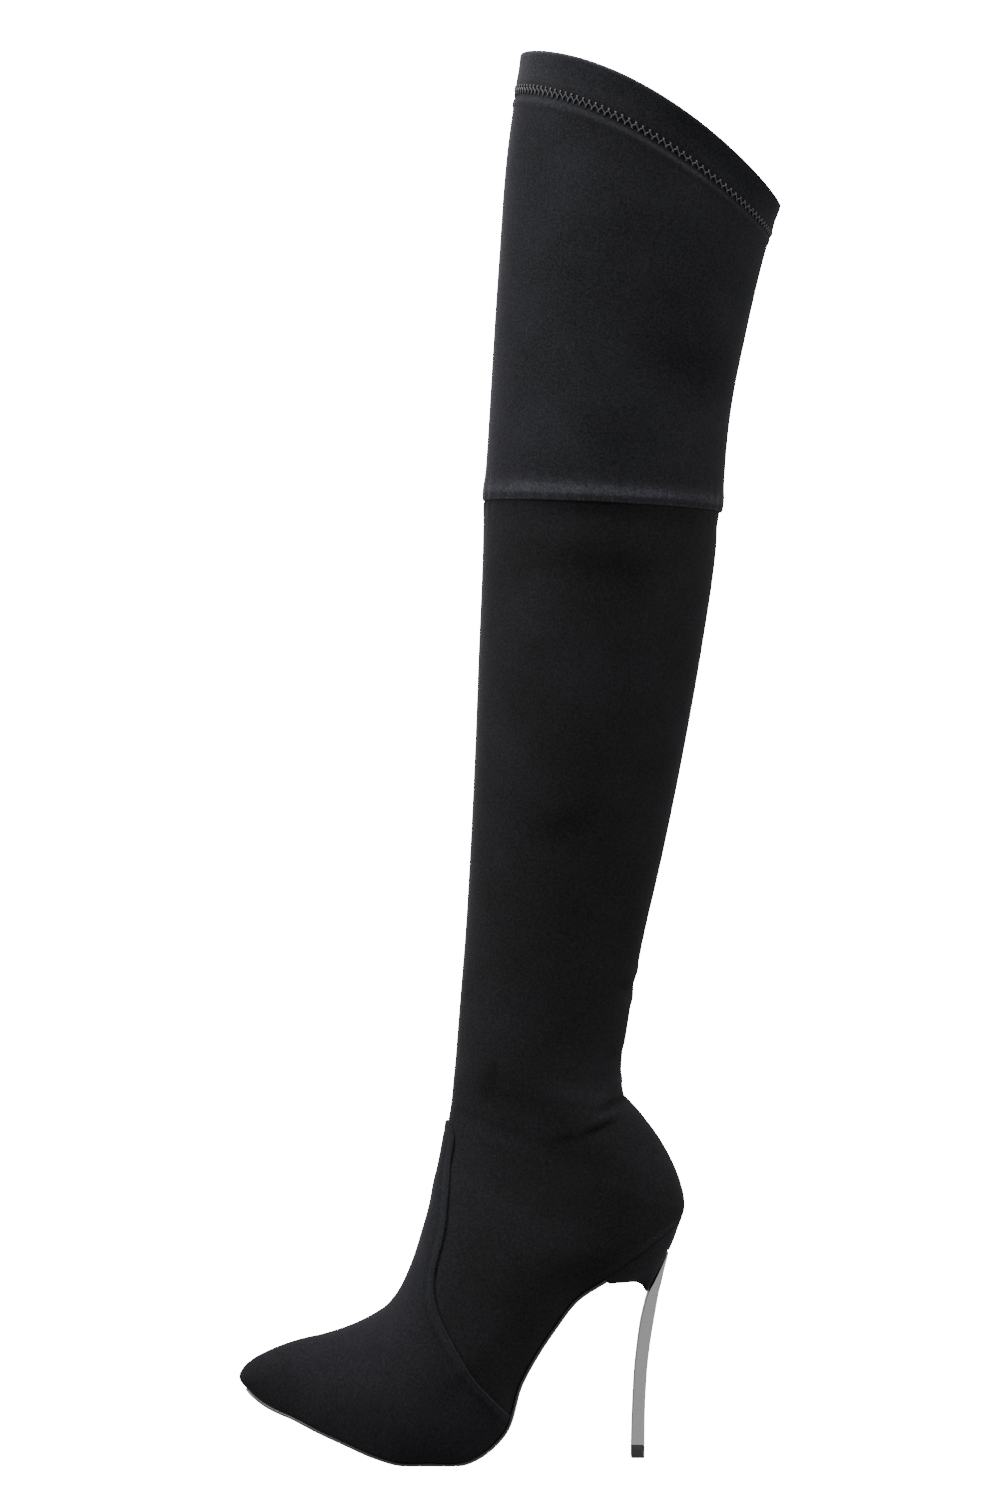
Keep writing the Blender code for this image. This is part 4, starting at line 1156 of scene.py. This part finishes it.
# %% Dress the pieces
SUEDES = (
    # Brushed microsuede drinks the light: matt and almost black, with painted highlights along each roll and
    # painted shade in troughs. The thigh panel is a shade paler than the sock, partly its own tone and
    # partly painted light.
    (sock, "brushed_microsuede", "#090909", "#18181a"),
    (thigh_panel, "brushed_microsuede_thigh", "#0a0a0c", "#1c1c1f"),
    # On a stiff backing, or drawn tight round the block, the nap is a little paler: partly its own tone and
    # partly painted light.
    (vamp_overlay, "backed_microsuede", "#0a0a0c", "#19191c"),
    (heel_wrap, "wrapped_microsuede", "#0e0e0f", "#1e1e20"),
)
FINISHES = (  # the last numbers: roughness, grain and bumps in mm, and share of metal
    # Ink burnished into the cut edge gives a dark line with a dull shine.
    (sole, "inked_sole_edge", "#1b1718", "#241f20", 0.45, 0.8),
    # Smoothed bare leather shows warm tan under the foot.
    (sole, "smooth_sole_leather", "#86684f", "#957659", 0.5, 0.8),
    # The lining inside is dull and dark.
    (footbed, "sock_lining", "#151516", "#1c1c1e", 0.8, 0.8),
    # Polished and plated, the steel is a soft mirror of the studio, in long bright and dark bands.
    (steel_heel, "polished_steel", "#a9a7aa", "#b9b7ba", 0.22, 0.4, 0.01, 1.0),
    # Moulded rubber has an even, dull dark grey.
    (heel_tread, "moulded_rubber", "#101213", "#181a1b", 0.6, 0.6),
    # Twisted thread is smoother than the nap, so the zigzag stands out from the cuff.
    (hem_stitch, "twisted_polyester_thread", "#161618", "#212124", 0.6, 0.3),
)
for piece, *finish in SUEDES:
    piece.data.materials.append(brushed_suede(*finish))
for piece, *finish in FINISHES:
    piece.data.materials.append(plain_finish(*finish))
# The underside and the lowest turn of each edge are bare leather, and the rest of the edge is inked.
BARE_TURN = 2  # faces of each edge that are bare
ring_face = np.arange(len(sole.data.polygons)) % (2 * (BOARD_ACROSS + BOARD_EDGE))
first_bare = BOARD_ACROSS + BOARD_EDGE - BARE_TURN
bare = (ring_face >= first_bare) & (ring_face <= first_bare + BOARD_ACROSS + BARE_TURN)
sole.data.polygons.foreach_set("material_index", bare.astype(np.int32))

STANDS_FOR = (
    (sock, "upper", "stretch_suede"),
    (thigh_panel, "upper", "stretch_suede"),
    (hem_stitch, None, "stretch_suede"),
    (vamp_overlay, "vamp", "vamp_suede"),
    (sole, "outsole", "sole_leather"),
    (footbed, "insole", "insole_board"),
    (heel_wrap, "heel_block", "block_suede"),
    (steel_heel, "heel_blade", "plated_steel"),
    (heel_tread, "top_lift", "lift_rubber"),
)
for piece, node, slot in STANDS_FOR:
    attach(piece, "root")
    if node:
        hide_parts(node)
print("dressed:", len(STANDS_FOR), "pieces")

# %% [markdown]
# The photograph is taken in a white studio. A pale floor curves up into a wall behind the boot, so there is
# no edge to see, and large soft lights stand to both sides.

# %% Stage and light
BACKDROP_GLOW = 20.0  # the sheet is lit through from behind, so it shows white
STUDIO_FILL = 0.72  # even white light from all round
SOFTBOXES = (  # name, place, point that it faces, side in metres, watts
    ("left_softbox", (-2.0, -0.4, 1.2), (0, 0, 0.35), 1.0, 82),
    ("right_softbox", (2.0, -0.7, 0.6), (0, 0, 0.2), 1.0, 38),
    ("top_softbox", (-0.2, -0.5, 2.4), (0, 0, 0.4), 0.9, 110),
)


def make_backdrop(front=-7.0, back=4.5, radius=1.5, half_width=7.0, top=6.0):
    """A sheet swept from the floor up through a quarter circle into a wall.

    It glows, but black flags keep its light off the boot, whose edges would otherwise turn grey. It starts
    to curve up behind the camera of every view.
    """
    turn = np.linspace(0, np.pi / 2, 24)
    y = np.concatenate(([front], back + radius * np.sin(turn), [back + radius]))[:, None]
    z = np.concatenate(([0.0], radius * (1 - np.cos(turn)), [top]))[:, None]
    points = np.stack(np.broadcast_arrays((-half_width, half_width), y, z), axis=-1)
    index = np.arange(len(y) * 2).reshape(-1, 2)
    sheet = mesh_piece("backdrop", points.reshape(-1, 3), quads(index)[:, ::-1].tolist(), 180)
    paper = plain_finish("white_paper", "#f4f4f4", "#f6f6f6", 0.9, 20.0, 0.0)
    glow = {"Emission Color": linear("#ffffff"), "Emission Strength": BACKDROP_GLOW}
    fill(paper.node_tree, paper.node_tree.nodes["Principled BSDF"], glow)
    sheet.data.materials.append(paper)
    sheet.visible_diffuse = False
    sheet.visible_glossy = False


def soft_light(name, place, aim, size, watts):
    """A square area light that faces a point."""
    light = bpy.data.objects.new(name, bpy.data.lights.new(name, "AREA"))
    bpy.context.scene.collection.objects.link(light)
    light.data.shape = "SQUARE"
    light.data.size = size
    light.data.energy = watts
    light.location = place
    way = np.array(aim) - np.array(place)
    yaw = np.arctan2(-way[0], way[1])
    tilt = np.arctan2(np.hypot(way[0], way[1]), -way[2])
    light.rotation_euler = (tilt, 0, yaw)


make_backdrop()
for softbox in SOFTBOXES:
    soft_light(*softbox)
world = bpy.data.worlds.new("studio")
bpy.context.scene.world = world
world.use_nodes = True
even = {"Color": linear("#ffffff"), "Strength": STUDIO_FILL}
fill(world.node_tree, world.node_tree.nodes["Background"], even)
print("lights:", len(SOFTBOXES), "soft boxes and an even fill of", STUDIO_FILL)
